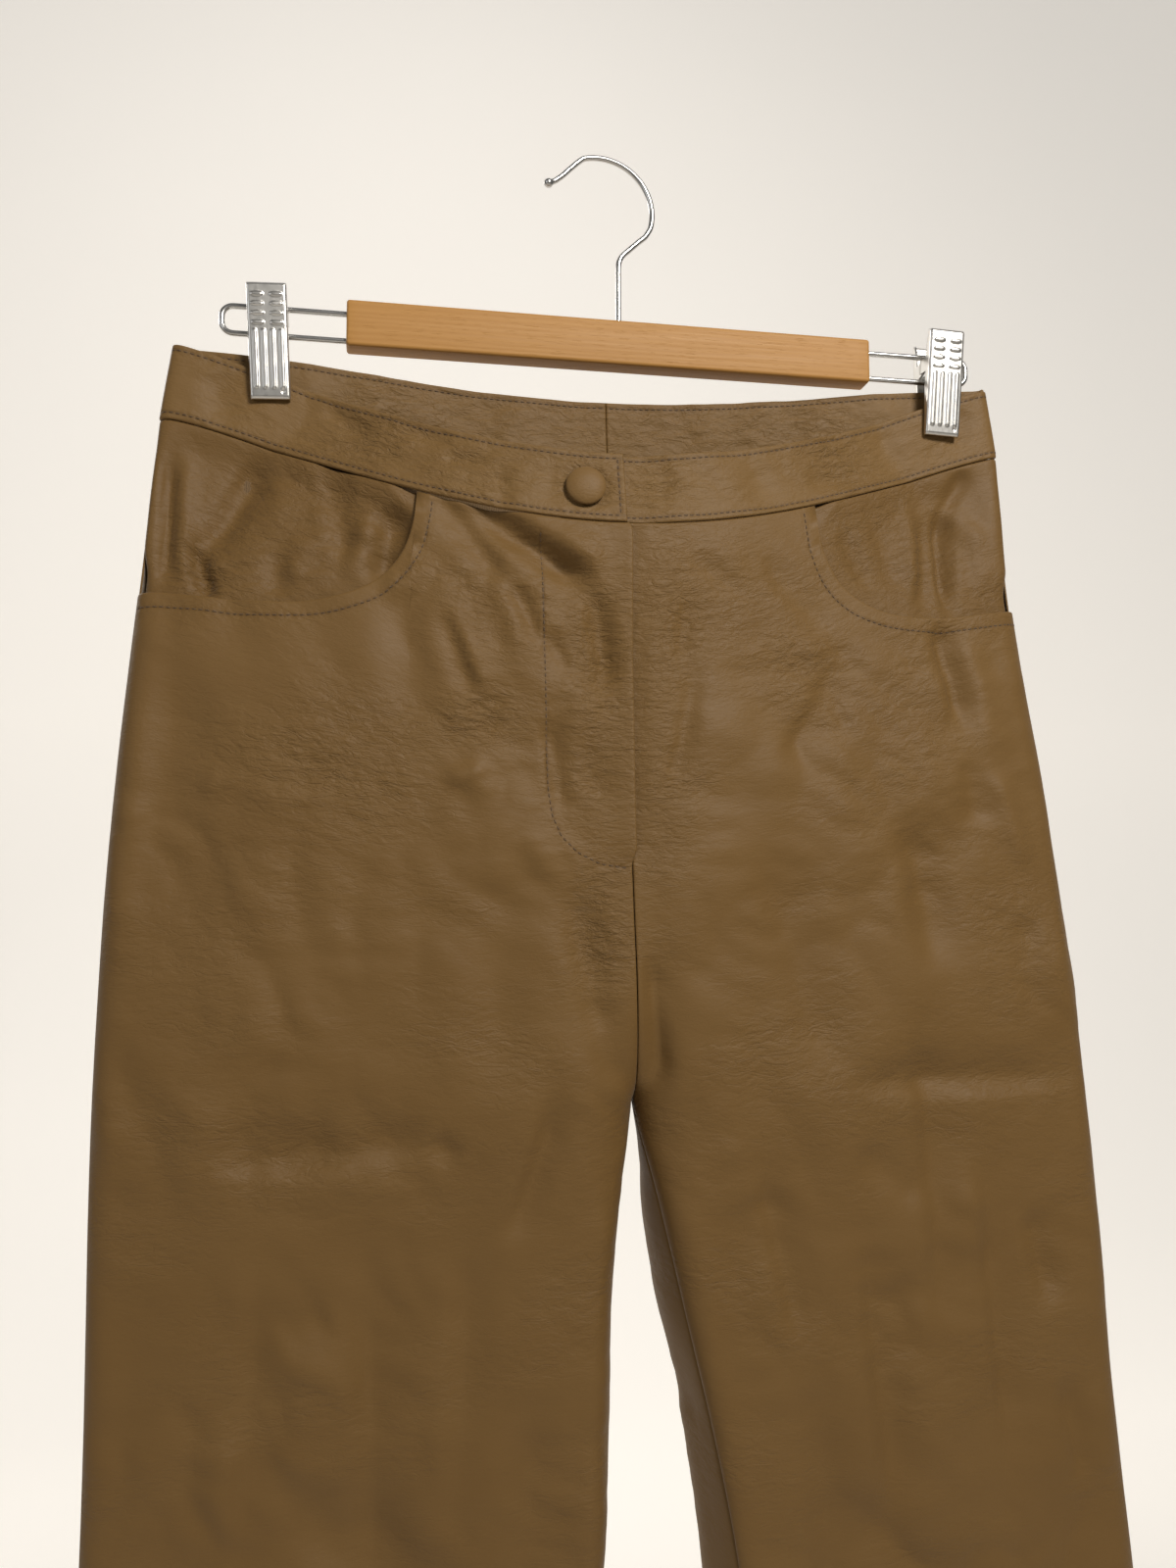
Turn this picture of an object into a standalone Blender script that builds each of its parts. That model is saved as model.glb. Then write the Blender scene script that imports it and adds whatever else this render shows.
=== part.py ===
"""Faux leather trousers hanging from a wooden bar hanger by two spring clips.

Metres, +Z up, front towards -Y, the wearer's right side at -X.  The origin is the point on the
underside of the hook that bears on the nail.  Sizes in the tables are millimetres.
"""

import math

import bmesh
import bpy
import numpy as np
from mathutils import Matrix, Vector

MM = 0.001

# --- cloth ---
WALL = 1.2              # body cloth
BAND_WALL = 2.2         # the waistband is two layers with interfacing
GAP = 0.3               # between neighbouring pieces
INNER_CLEAR = 0.72      # the inseam lies this far inside the outline, half a wall and a little more
SEAM_HEIGHT = -140.2    # waist seam at the sides, under the nail
HANG_TILT = 0.018       # the wearer's left side hangs a little higher
BAND_HEIGHT = 36.0
CROTCH = 310.0          # below the waist seam
HEM = 990.0
DROOP_FRONT = 51.0      # the front waist seam sags between the clips
DROOP_FRONT_TOP = 54.0
DROOP_BACK = 12.0
DROOP_REACH = 206.0     # from the centre to where the sag has gone
DROOP_POWER = 1.3
DROOP_FADE = 300.0      # below this the levels run straight across
HOLLOW = 75.0           # height above the crotch where the two legs start to part
HOLLOW_ROUND = 32.0     # radius of the turn into that hollow
LEG_ROUND = 12.0        # radius of the turn at the inseam, lower down
SIDE_ROUND_BAND = 4.0   # radius of the turn at the side seam, in the waistband
SIDE_ROUND = 11.0       # and from the hip down
ROUND_GROWS = 60.0      # height over which one radius passes into the other
EDGE_FADE = 0.08        # folds die out over this share of a panel from its seams

# Outline of the garment from the front, a row for each level below the waist seam.
OUTLINE = {
    "below":   (-36, 0, 30, 60, 110, 160, 220, 270, 310, 350, 400, 450, 500, 550, 650, 800, 990),
    "side_r":  (-203, -208, -211, -213, -217, -221, -224.5, -226, -226.7, -226.8, -226.2, -225.8,
                -226, -226.5, -225, -222, -222),
    "centre":  (0, 1, 1, 1, 1.5, 2, 3.5, 5.5, 7.5, 7.5, 7.5, 7.5, 7.5, 7.5, 7.5, 7.5, 7.5),
    "inner_r": (0, 1, 1, 1, 1.5, 2, 3.5, 5.5, 7.5, 2.5, -2, -3, -5, -7, -12, -14, -13),
    "inner_l": (0, 1, 1, 1, 1.5, 2, 3.5, 5.5, 7.5, 16.5, 28, 40, 50, 57, 66, 72, 74),
    "side_l":  (194, 199, 201, 202, 207, 215, 223, 229, 232.5, 236, 239.5, 242, 246.5, 251, 256,
                258, 260),
}

# Depth of the garment, seen from the side: how far each layer stands from the hanger's plane.
# "pinch" is the share of the width, from the side seam in, that the clips hold flat.
DEPTH = {
    "below":   (-36, -20, 0, 60, 110, 220, 310, 350, 450, 990),
    "fold":    (0, 0, 0, -2, -4, -5, -6, -6, -6, -6),
    "front_edge": (-2.8, -2.8, -3.2, -9, -13, -15, -15, -15, -14, -14),
    "front_r": (-32, -34, -36.5, -36.5, -37, -37, -35, -30, -27, -27),
    "front_l": (-32, -34, -36.5, -36.5, -37, -37, -35, -31, -28, -28),
    "seam_r":  (-8, -8, -8, -8, -8, -8, -8, -8, -8, -8),
    "seam_l":  (-8, -8, -8, -8, -8, -8, -8, -17, -20, -20),
    "back_edge": (2.8, 2.8, 3, 5, 6, 8, 8, 6, 5, 5),
    "back_r":  (13.5, 14, 14.5, 15, 16, 17, 17, 13, 9, 9),
    "back_l":  (13.5, 14, 14.5, 15, 16, 17, 18, 19, 20, 20),
    "bulge_r": (0, 0, 0, 0, 0, 0, 0, 2, 3, 3),
    "bulge_l": (0, 0, 0, 0, 0, 0, 0, 6, 12, 12),
    "pinch":   (0.3, 0.3, 0.24, 0.08, 0, 0, 0, 0, 0, 0),
}

# The largest folds: a trough (depth > 0) or ridge (depth < 0) along a line on one panel.
FOLDS = (
    # panel,       x1,    z1,   x2,   z2, width, depth
    ("front_right", -88, -186, -36, -262, 15, 2.6),
    ("front_right", -70, -196, -14, -238, 17, 4.2),
    ("front_right", -16, -236, -8, -300, 14, 3.0),
    ("front_right", -196, -240, -190, -396, 20, 3.0),
    ("front_right", -190, -462, -80, -468, 22, 2.6),
    ("front_left", 172, -236, 178, -300, 13, 4.2),
    ("front_left", 138, -330, 150, -402, 20, 3.2),
    ("front_left", 112, -445, 226, -450, 20, 2.6),
    ("front_left", 205, -510, 214, -560, 16, 2.4),
    ("back_right", -170, -190, -60, -240, 24, 2.6),
    ("back_right", -180, -420, -60, -440, 24, 2.8),
    ("back_left", 60, -240, 168, -186, 24, 2.6),
    ("back_left", 80, -425, 200, -440, 24, 2.8),
)

# Where the columns of every panel stand, from the centre seam or inseam (0) to the side (1).
COLUMNS = (0, 0.02, 0.06, 0.13, 0.22, 0.32, 0.42, 0.52, 0.62, 0.72, 0.81, 0.89, 0.95, 0.985, 1)
LEVELS = (200, 222, 244, 264, 282, 297, 310, 318, 334, 360, 400, 445, 490, 540, 620, 720, 850, 990)
UPPER_ROWS = 7          # rows between the top edge of a panel and the first level
SEAM_COLUMNS = 7        # columns of a front that end on the waist seam, the rest on the pocket
MOUTH_COLUMNS = (0, 0.02, 0.1, 0.27, 0.5, 0.74, 0.93, 1)   # along the pocket mouth to the side
FACING_COLUMNS = (0.01, 0.06, 0.17, 0.36, 0.58, 0.78, 0.9, 0.96, 1)
FACING_ROWS = (0, 0.12, 0.28, 0.46, 0.64, 0.82, 1)

# --- pockets, underlap, button ---
POCKET_START = 94.0     # from the centre front to where the pocket mouth leaves the waist seam
POCKET_DEPTH = 81.0     # down the side seam
POCKET_POWER = 2.5
FACING_TUCK = 12.0      # how far the facing runs on behind the front
FACING_STEP = 3.0       # the facing lies this far behind the front
FACING_FADE = 14.0      # and comes up level with the waistband over this height
FACING_COVER = 0.06     # share of the panel over which it passes behind the front
UNDERLAP = 30.0
UNDERLAP_STEP = 2.6     # the left end of the waistband lies this far behind the right one
BUTTON_ACROSS = 18.5    # from the centre front
BUTTON_BELOW = -17.0    # above the waist seam
BUTTON_PROFILE = ((0, 0), (8.0, 0), (9.2, 1.0), (8.9, 1.9), (7.2, 3.1), (4.2, 3.9), (0, 4.2))

# --- hanger ---
WIRE = 1.4              # radius of the hook and loop wire
BORE = 1.7              # radius of the holes in the bar
BAR_LEFT, BAR_RIGHT = -126.0, 131.0
BAR_TOP, BAR_BOTTOM = -82.0, -104.0
BAR_DEPTH = 12.0
BAR_EDGE = 1.2
INSERT = 20.0           # depth of the holes for the loops
SHANK_DEPTH = 15.0      # depth of the hole for the hook
SHANK_X = 4.0
HOOK_FOOT = -96.7       # lower end of the shank, inside the bar
HOOK_CENTRE = (-6.2, -25.04)
HOOK_RADIUS = 27.2
BALL = 2.3              # radius of the ball on the end of the hook
BALL_START = (-28.8, -12.2)
BALL_HEADING = (-0.92, -0.39)
BALL_PROFILE = ((0.0, 0.62), (0.9, 0.85), (2.1, 1.0), (3.3, 0.8), (4.0, 0.45), (4.3, 0))
LOOP_TOP, LOOP_BOTTOM = -87.0, -100.0
LOOP_ENDS = {-1: -182.6, 1: 184.6}
LOOP_CORNER = 5.0

CLIP_WIDTH = 18.0
CLIP_LENGTH = 53.0
CLIP_METAL = 0.9
CLIP_CORNER = 1.3       # the bend between the face of a jaw and its side flanges
CLIP_NARROWER = 2.6     # the back jaw is this much narrower
CLIP_TOP_OUT = 13.0     # top of the jaw from the hanger's plane
CLIP_BOTTOM_OUT = 7.6
CLIP_LIP = 1.6
CLIP_PIVOT = -93.5      # the pin lies between the two wires
EAR = 12.6              # the jaws reach in to the pin by their ears
EAR_HALF = 3.0
EAR_SLOPE = 0.6
EAR_ROOT = 6.0
SPRING_RADIUS = 3.6
SPRING_HALF = 4.6
PIN_RADIUS = 1.5
CLIPS = {
    # side: (x of the top, x of the bottom, z of the top)
    -1: (-162.0, -159.3, -80.3),
    1: (169.8, 168.0, -77.0),
}

TAN = (0.205, 0.125, 0.048)
TAN_DARK = (0.16, 0.095, 0.036)
WOOD = (0.50, 0.28, 0.10)
STEEL = (0.62, 0.61, 0.58)
SHARP_ANGLE = 35        # degrees; edges that turn more than this stay sharp

for old in list(bpy.data.objects):
    bpy.data.objects.remove(old, do_unlink=True)


def finish(name, colour, roughness, metallic):
    """A plain material for one sub-part."""
    material = bpy.data.materials.new(name)
    material.use_nodes = True
    shader = material.node_tree.nodes["Principled BSDF"]
    shader.inputs["Base Color"].default_value = (*colour, 1)
    shader.inputs["Roughness"].default_value = roughness
    shader.inputs["Metallic"].default_value = metallic
    return material


def add_object(name, mesh, colour, roughness=0.5, metallic=0.0):
    """Puts a mesh in the scene as one sub-part with its own material."""
    mesh.materials.append(finish(name, colour, roughness, metallic))
    thing = bpy.data.objects.new(name, mesh)
    bpy.context.collection.objects.link(thing)
    mesh.shade_smooth()
    mesh.set_sharp_from_angle(angle=math.radians(SHARP_ANGLE))
    return thing


def solid_sheet(name, outer, inner, colour, roughness=0.5, metallic=0.0):
    """A closed wall between two grids of points, in millimetres."""
    rows, columns = outer.shape[:2]
    work = bmesh.new()
    grids = []
    for layer in (outer, inner):
        grids.append([[work.verts.new(Vector(p) * MM) for p in row] for row in layer])
    for row in range(rows - 1):
        for column in range(columns - 1):
            for grid in grids:
                corners = (grid[row][column], grid[row][column + 1],
                           grid[row + 1][column + 1], grid[row + 1][column])
                work.faces.new(corners)
    top, bottom = 0, rows - 1
    first, last = 0, columns - 1
    ring = [(top, c) for c in range(columns)]
    ring += [(r, last) for r in range(1, rows)]
    ring += [(bottom, c) for c in range(last - 1, -1, -1)]
    ring += [(r, first) for r in range(bottom - 1, 0, -1)]
    for here, there in zip(ring, ring[1:] + ring[:1]):
        work.faces.new((grids[0][here[0]][here[1]], grids[0][there[0]][there[1]],
                        grids[1][there[0]][there[1]], grids[1][here[0]][here[1]]))
    bmesh.ops.recalc_face_normals(work, faces=work.faces)
    if work.calc_volume(signed=True) < 0:
        bmesh.ops.reverse_faces(work, faces=work.faces)
    mesh = bpy.data.meshes.new(name)
    work.to_mesh(mesh)
    work.free()
    return add_object(name, mesh, colour, roughness, metallic)


# --- the form that every cloth piece lies on ---

SIDES = {-1: "r", 1: "l"}
FORM_ACROSS = np.linspace(0, 1, 141)
FORM_BELOW = np.arange(-BAND_HEIGHT, HEM + 1, 2.0)
SLOPE_ACROSS = 0.012    # slopes are taken over this share to each side of a point
SLOPE_DOWN = 4.0        # and this far above and under it


def smooth(t):
    """Runs from 0 to 1 and is level at both ends."""
    t = np.clip(t, 0, 1)
    return t * t * (3 - 2 * t)


def at_level(table, column, below):
    """Reads a table between its rows on a smooth curve."""
    levels = np.array(table["below"], float)
    values = np.array(table[column], float)
    slopes = np.gradient(values, levels)
    row = int(np.clip(np.searchsorted(levels, below, side="right") - 1, 0, len(levels) - 2))
    span = levels[row + 1] - levels[row]
    t = np.clip((below - levels[row]) / span, 0, 1)
    start = (1 + 2 * t) * (1 - t) ** 2 * values[row] + t * (1 - t) ** 2 * span * slopes[row]
    end = t * t * (3 - 2 * t) * values[row + 1] + t * t * (t - 1) * span * slopes[row + 1]
    return start + end


def height(x, below, face, centre):
    """Height of a point: levels sag at the middle of the waist and run straight lower down."""
    reach = np.clip(np.abs(x - centre) / DROOP_REACH, 0, 1)
    if face < 0:
        top = np.clip(-below / BAND_HEIGHT, 0, 1)
        droop = DROOP_FRONT + (DROOP_FRONT_TOP - DROOP_FRONT) * top
    else:
        droop = DROOP_BACK
    sag = droop * np.cos(math.pi / 2 * reach) ** DROOP_POWER
    sag = sag * (1 - smooth(max(below, 0) / DROOP_FADE))
    return SEAM_HEIGHT - below + HANG_TILT * x - sag


def section(side, face, below):
    """One layer of one half at one level, from the centre or inseam to the side seam."""
    tag = SIDES[side]
    layer = "front" if face < 0 else "back"
    outer_x = at_level(OUTLINE, "side_" + tag, below)
    centre = at_level(OUTLINE, "centre", below)
    fold = at_level(DEPTH, "fold", below) + face * GAP / 2
    seam = at_level(DEPTH, "seam_" + tag, below) + face * GAP / 2
    edge_depth = at_level(DEPTH, layer + "_edge", below)
    depth = at_level(DEPTH, layer + "_" + tag, below)
    pinch = at_level(DEPTH, "pinch", below)
    bulge = at_level(DEPTH, "bulge_" + tag, below)
    side_round = SIDE_ROUND_BAND + (SIDE_ROUND - SIDE_ROUND_BAND) * smooth(below / ROUND_GROWS)
    if below <= CROTCH:
        part = np.clip((CROTCH - below) / HOLLOW, 0, 1)
        grown = HOLLOW_ROUND * part
        inner_round = HOLLOW_ROUND
        inner_x = centre - side * grown
        start_angle = math.acos(1 - grown / inner_round)
        inner_x = inner_x + side * GAP / 2
    else:
        legs_apart = smooth((below - CROTCH) / ROUND_GROWS)
        inner_round = HOLLOW_ROUND + (LEG_ROUND - HOLLOW_ROUND) * legs_apart
        inner_x = at_level(OUTLINE, "inner_" + tag, below) + side * INNER_CLEAR
        start_angle = 0.0
    inner_turn = np.linspace(start_angle, math.pi / 2, 40)
    outer_turn = np.linspace(math.pi / 2, 0, 40)
    flat_from = inner_x + side * inner_round
    flat_to = outer_x - side * side_round
    inner_xs = inner_x + side * inner_round * (1 - np.cos(inner_turn))
    if face > 0 and below > CROTCH:
        inner_xs = inner_xs - side * bulge * np.sin(2 * inner_turn)
    flat_xs = np.linspace(flat_from, flat_to, 120)[1:-1]
    outer_xs = outer_x - side * side_round * (1 - np.cos(outer_turn))
    xs = np.concatenate((inner_xs, flat_xs, outer_xs))
    rise = np.concatenate((np.sin(inner_turn), np.ones(len(flat_xs)), np.sin(outer_turn)))
    base = np.concatenate((np.full(len(inner_xs), seam), np.full(len(flat_xs), fold),
                           np.full(len(outer_xs), fold)))
    share = np.clip((outer_x - xs) / (outer_x - centre), 0, 1)
    bow = np.sin(math.pi / 2 * np.clip((share - pinch) / (1 - pinch), 0, 1))
    plateau = edge_depth + (depth - edge_depth) * bow
    ys = base + (plateau - base) * rise
    zs = height(xs, below, face, centre)
    points = np.stack((xs, ys, zs), axis=1)
    steps = np.linalg.norm(np.diff(points[:, :2], axis=0), axis=1)
    length = np.concatenate(((0,), np.cumsum(steps)))
    share_along = length / length[-1]
    even = [np.interp(FORM_ACROSS, share_along, points[:, k]) for k in range(3)]
    return np.stack(even, axis=1)


FORM = {}
for side in SIDES:
    for face in (-1, 1):
        FORM[side, face] = np.array([section(side, face, below) for below in FORM_BELOW])


def on_form(side, face, across, below):
    """The point of the bare form at a share across its panel and a level below the waist."""
    grid = FORM[side, face]
    row = np.clip((below - FORM_BELOW[0]) / (FORM_BELOW[1] - FORM_BELOW[0]), 0, len(grid) - 1.001)
    column = np.clip(across * (len(FORM_ACROSS) - 1), 0, len(FORM_ACROSS) - 1.0001)
    r, c = int(row), int(column)
    down, along = row - r, column - c
    upper = grid[r, c] * (1 - along) + grid[r, c + 1] * along
    lower = grid[r + 1, c] * (1 - along) + grid[r + 1, c + 1] * along
    return upper * (1 - down) + lower * down


def normal_at(side, face, across, below):
    """Outward direction; on the seams it is squared up so that neighbours meet face to face."""
    left, right = max(across - SLOPE_ACROSS, 0), min(across + SLOPE_ACROSS, 1)
    above, under = max(below - SLOPE_DOWN, -BAND_HEIGHT), min(below + SLOPE_DOWN, HEM)
    if across < 0.001 and below <= CROTCH:
        under = min(under, CROTCH)
    along = on_form(side, face, right, below) - on_form(side, face, left, below)
    down = on_form(side, face, across, under) - on_form(side, face, across, above)
    direction = np.cross(along, down) * side * face
    if across < 0.001:
        if abs(below - CROTCH) < 0.5:
            direction = np.array((0.0, 0.0, -1.0))
        elif below < CROTCH:
            direction = np.cross((side, 0, 0), down) * side * face
        else:
            direction = np.array((-side, 0.0, 0.0))
    elif across > 0.999:
        direction = np.array((side, 0.0, 0.0))
    return direction / np.linalg.norm(direction)


def fold_depth(panel, point):
    """How far the named folds press a point of a panel in; a facing follows its front."""
    panel = panel.replace("pocket_facing", "front")
    total = 0.0
    for name, x1, z1, x2, z2, width, depth in FOLDS:
        if name != panel:
            continue
        line = np.array((x2 - x1, z2 - z1))
        from_start = np.array((point[0] - x1, point[2] - z1))
        share = np.clip(from_start @ line / (line @ line), 0, 1)
        away = np.linalg.norm(from_start - share * line)
        along = math.sin(math.pi * (0.15 + 0.7 * share))
        total += depth * along * math.exp(-2 * (away / width) ** 2)
    return total


def keep_clear(point, side, below):
    """Holds a point of one half back from the centre seam, where the legs part steeply."""
    if below > CROTCH:
        return point
    centre = at_level(OUTLINE, "centre", below)
    away = max(side * (point[0] - centre), GAP / 2)
    return np.array((centre + side * away, point[1], point[2]))


def cloth(name, side, face, places, wall, colour=TAN, back_off=None):
    """A cloth wall on the form.  places holds (across, below) for each point of its grid."""
    outer, inner = [], []
    for row in places:
        outer_row, inner_row = [], []
        for across, below in row:
            point = on_form(side, face, across, below)
            direction = normal_at(side, face, across, below)
            from_seam = min(across, 1 - across)
            shift = -fold_depth(name, point) * smooth(from_seam / EDGE_FADE)
            if back_off:
                shift -= back_off(across, below)
            outer_row.append(keep_clear(point + direction * (shift + wall / 2), side, below))
            inner_row.append(point + direction * (shift - wall / 2))
        outer.append(outer_row)
        inner.append(inner_row)
    return solid_sheet(name, np.array(outer), np.array(inner), colour)


def across_at(side, face, distance, below):
    """Share across the panel where it is a given distance from the centre line."""
    row = np.array([on_form(side, face, a, below)[0] for a in FORM_ACROSS])
    centre = at_level(OUTLINE, "centre", below)
    return float(np.interp(distance, side * (row - centre), FORM_ACROSS))


def scoop(share):
    """Depth of the pocket mouth, from 0 on the waist seam to 1 at the side seam."""
    return (1 - (1 - share) ** POCKET_POWER) ** (1 / POCKET_POWER)


# --- fronts and backs ---

for side, label in ((-1, "right"), (1, "left")):
    mouth_across = across_at(side, -1, POCKET_START, 0)
    top_edge = [(mouth_across * i / SEAM_COLUMNS, GAP / 2) for i in range(SEAM_COLUMNS)]
    for share in MOUTH_COLUMNS:
        top_edge.append((mouth_across + (1 - mouth_across) * share,
                         GAP / 2 + POCKET_DEPTH * scoop(share)))
    places = []
    for row in range(UPPER_ROWS):
        share = row / UPPER_ROWS
        line = []
        for (across, below), across_below in zip(top_edge, COLUMNS):
            line.append((across + (across_below - across) * smooth(share),
                         below + (LEVELS[0] - below) * share))
        places.append(line)
    for below in LEVELS:
        places.append([(across, below) for across in COLUMNS])
    cloth("front_" + label, side, -1, places, WALL)

    back_places = []
    for row in range(UPPER_ROWS):
        below = GAP / 2 + (LEVELS[0] - GAP / 2) * row / UPPER_ROWS
        back_places.append([(across, below) for across in COLUMNS])
    for below in LEVELS:
        back_places.append([(across, below) for across in COLUMNS])
    cloth("back_" + label, side, 1, back_places, WALL)

# --- pocket facings: the corner of the hip that shows in the pocket mouth, tucked behind the front ---

for side, label in ((-1, "right"), (1, "left")):
    mouth_across = across_at(side, -1, POCKET_START, 0)
    tuck_across = across_at(side, -1, POCKET_START - FACING_TUCK, 0)
    places = []
    for down in FACING_ROWS:
        line = []
        for share in FACING_COLUMNS:
            deep = (POCKET_DEPTH + FACING_TUCK) * scoop(share)
            line.append((tuck_across + (1 - tuck_across) * share, GAP / 2 + deep * down))
        places.append(line)

    def behind(across, below):
        """The facing is level with the waistband in the open mouth and behind the front elsewhere."""
        covered = 1 - smooth((across - mouth_across) / FACING_COVER)
        return FACING_STEP * max(smooth(below / FACING_FADE), covered)

    cloth("pocket_facing_" + label, side, -1, places, WALL, TAN_DARK, back_off=behind)

# --- waistband ---

BAND_LEVELS = (-BAND_HEIGHT, -24, -12, -GAP / 2)
BAND_COLUMNS = (0, 0.04, 0.1, 0.18, 0.27, 0.36, 0.45, 0.54, 0.63, 0.71, 0.78, 0.85, 0.92, 0.97, 1)

for side, label in ((-1, "right"), (1, "left")):
    back_places = [[(across, below) for across in BAND_COLUMNS] for below in BAND_LEVELS]
    cloth("band_back_" + label, side, 1, back_places, BAND_WALL)
cloth("band_front_right", -1, -1,
      [[(across, below) for across in BAND_COLUMNS] for below in BAND_LEVELS], BAND_WALL)


def left_band():
    """The left front band steps back behind the right one and runs on as the underlap."""
    outer, inner = [], []
    reach = across_at(-1, -1, UNDERLAP, 0)
    for below in BAND_LEVELS:
        places = [(-1, reach * share, UNDERLAP_STEP) for share in (1, 0.66, 0.33, 0.08)]
        for across in BAND_COLUMNS[1:]:
            places.append((1, across, UNDERLAP_STEP * (1 - smooth((across - 0.02) / 0.12))))
        outer_row, inner_row = [], []
        for side, across, step in places:
            point = on_form(side, -1, across, below)
            direction = normal_at(side, -1, across, below)
            outer_row.append(point + direction * (BAND_WALL / 2 - step))
            inner_row.append(point + direction * (-BAND_WALL / 2 - step))
        outer.append(outer_row)
        inner.append(inner_row)
    return solid_sheet("band_front_left", np.array(outer), np.array(inner), TAN)


left_band()


# --- button ---

def turned(name, profile, place, colour, sides=24, roughness=0.5, metallic=0.0):
    """A solid of revolution; profile runs (radius, height) from the axis round to the axis."""
    work = bmesh.new()
    rings = []
    for radius, along in profile:
        if radius == 0:
            rings.append([work.verts.new((0, 0, along * MM))])
            continue
        ring = []
        for step in range(sides):
            turn = 2 * math.pi * step / sides
            ring.append(work.verts.new((radius * MM * math.cos(turn),
                                        radius * MM * math.sin(turn), along * MM)))
        rings.append(ring)
    for lower, upper in zip(rings, rings[1:]):
        for step in range(sides):
            there = (step + 1) % sides
            if len(lower) == 1:
                work.faces.new((lower[0], upper[step], upper[there]))
            elif len(upper) == 1:
                work.faces.new((lower[step], upper[0], lower[there]))
            else:
                work.faces.new((lower[step], lower[there], upper[there], upper[step]))
    bmesh.ops.recalc_face_normals(work, faces=work.faces)
    mesh = bpy.data.meshes.new(name)
    work.to_mesh(mesh)
    work.free()
    thing = add_object(name, mesh, colour, roughness, metallic)
    thing.matrix_world = place
    return thing


button_across = across_at(-1, -1, BUTTON_ACROSS, BUTTON_BELOW)
button_seat = on_form(-1, -1, button_across, BUTTON_BELOW)
button_out = normal_at(-1, -1, button_across, BUTTON_BELOW)
button_seat = button_seat + button_out * (BAND_WALL / 2 + 2 * GAP)
button_place = Matrix.Translation(Vector(button_seat) * MM)
button_place = button_place @ Vector(button_out).to_track_quat("Z", "Y").to_matrix().to_4x4()
turned("button", BUTTON_PROFILE, button_place, TAN)


# --- wires ---

def tube(name, path, radii, sides=10):
    """A wire along a path in the hanger's plane; radii of 0 close its ends to a point."""
    work = bmesh.new()
    rings = []
    for index, (x, z) in enumerate(path):
        before = path[max(index - 1, 0)]
        after = path[min(index + 1, len(path) - 1)]
        heading = Vector((after[0] - before[0], 0, after[1] - before[1])).normalized()
        across = Vector((heading.z, 0, -heading.x))
        centre = Vector((x, 0, z))
        if radii[index] == 0:
            rings.append([work.verts.new(centre * MM)])
            continue
        ring = []
        for step in range(sides):
            turn = 2 * math.pi * step / sides
            spoke = across * math.cos(turn) + Vector((0, 1, 0)) * math.sin(turn)
            ring.append(work.verts.new((centre + spoke * radii[index]) * MM))
        rings.append(ring)
    for lower, upper in zip(rings, rings[1:]):
        for step in range(sides):
            there = (step + 1) % sides
            if len(lower) == 1:
                work.faces.new((lower[0], upper[step], upper[there]))
            elif len(upper) == 1:
                work.faces.new((lower[step], upper[0], lower[there]))
            else:
                work.faces.new((lower[step], lower[there], upper[there], upper[step]))
    for ring in (rings[0], rings[-1]):
        if len(ring) > 1:
            work.faces.new(ring)
    bmesh.ops.recalc_face_normals(work, faces=work.faces)
    mesh = bpy.data.meshes.new(name)
    work.to_mesh(mesh)
    work.free()
    return add_object(name, mesh, STEEL, 0.2, 1.0)


def arc(centre, radius, first, last, steps):
    """Points of an arc in the hanger's plane, angles in degrees from +X."""
    points = []
    for step in range(steps + 1):
        turn = math.radians(first + (last - first) * step / steps)
        points.append((centre[0] + radius * math.cos(turn), centre[1] + radius * math.sin(turn)))
    return points


hook_path = [(SHANK_X, HOOK_FOOT), (SHANK_X, -56), (SHANK_X, -52), (SHANK_X + 0.5, -49.4),
             (SHANK_X + 1.9, -46.8), (SHANK_X + 4.4, -44.5), (14.6, -38.6), (17.4, -36.4)]
hook_path += arc(HOOK_CENTRE, HOOK_RADIUS, -14, 106, 16)
hook_path += [(-17.0, -1.9), (-20.6, -5.4), (-24.0, -8.9), (-27.2, -11.4)]
hook_radii = [WIRE] * len(hook_path)
for reach, share in BALL_PROFILE:
    hook_path.append((BALL_START[0] + reach * BALL_HEADING[0],
                      BALL_START[1] + reach * BALL_HEADING[1]))
    hook_radii.append(BALL * share)
tube("hanger_hook", hook_path, hook_radii)

for side, label in ((-1, "right"), (1, "left")):
    bar_end = BAR_LEFT if side < 0 else BAR_RIGHT
    inside = bar_end - side * (INSERT - 1)
    outside = LOOP_ENDS[side] - side * LOOP_CORNER
    upper = (outside, LOOP_TOP - LOOP_CORNER)
    lower = (outside, LOOP_BOTTOM + LOOP_CORNER)
    if side > 0:
        bend = arc(upper, LOOP_CORNER, 90, 0, 5) + arc(lower, LOOP_CORNER, 0, -90, 5)
    else:
        bend = arc(upper, LOOP_CORNER, 90, 180, 5) + arc(lower, LOOP_CORNER, 180, 270, 5)
    loop_path = [(inside, LOOP_TOP)] + bend + [(inside, LOOP_BOTTOM)]
    tube("hanger_loop_" + label, loop_path, [WIRE] * len(loop_path))


# --- bar ---

def block(name, low, high, edge, colour, roughness=0.5, metallic=0.0):
    """A box between two corners in millimetres, with bevelled edges."""
    mesh = bpy.data.meshes.new(name)
    work = bmesh.new()
    bmesh.ops.create_cube(work, size=1)
    low, high = Vector(low) * MM, Vector(high) * MM
    for corner in work.verts:
        share = corner.co + Vector((0.5, 0.5, 0.5))
        corner.co = low + share * (high - low)
    bmesh.ops.bevel(work, geom=work.edges[:], offset=edge * MM, segments=2, profile=0.5,
                    affect="EDGES")
    work.to_mesh(mesh)
    work.free()
    return add_object(name, mesh, colour, roughness, metallic)


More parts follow.
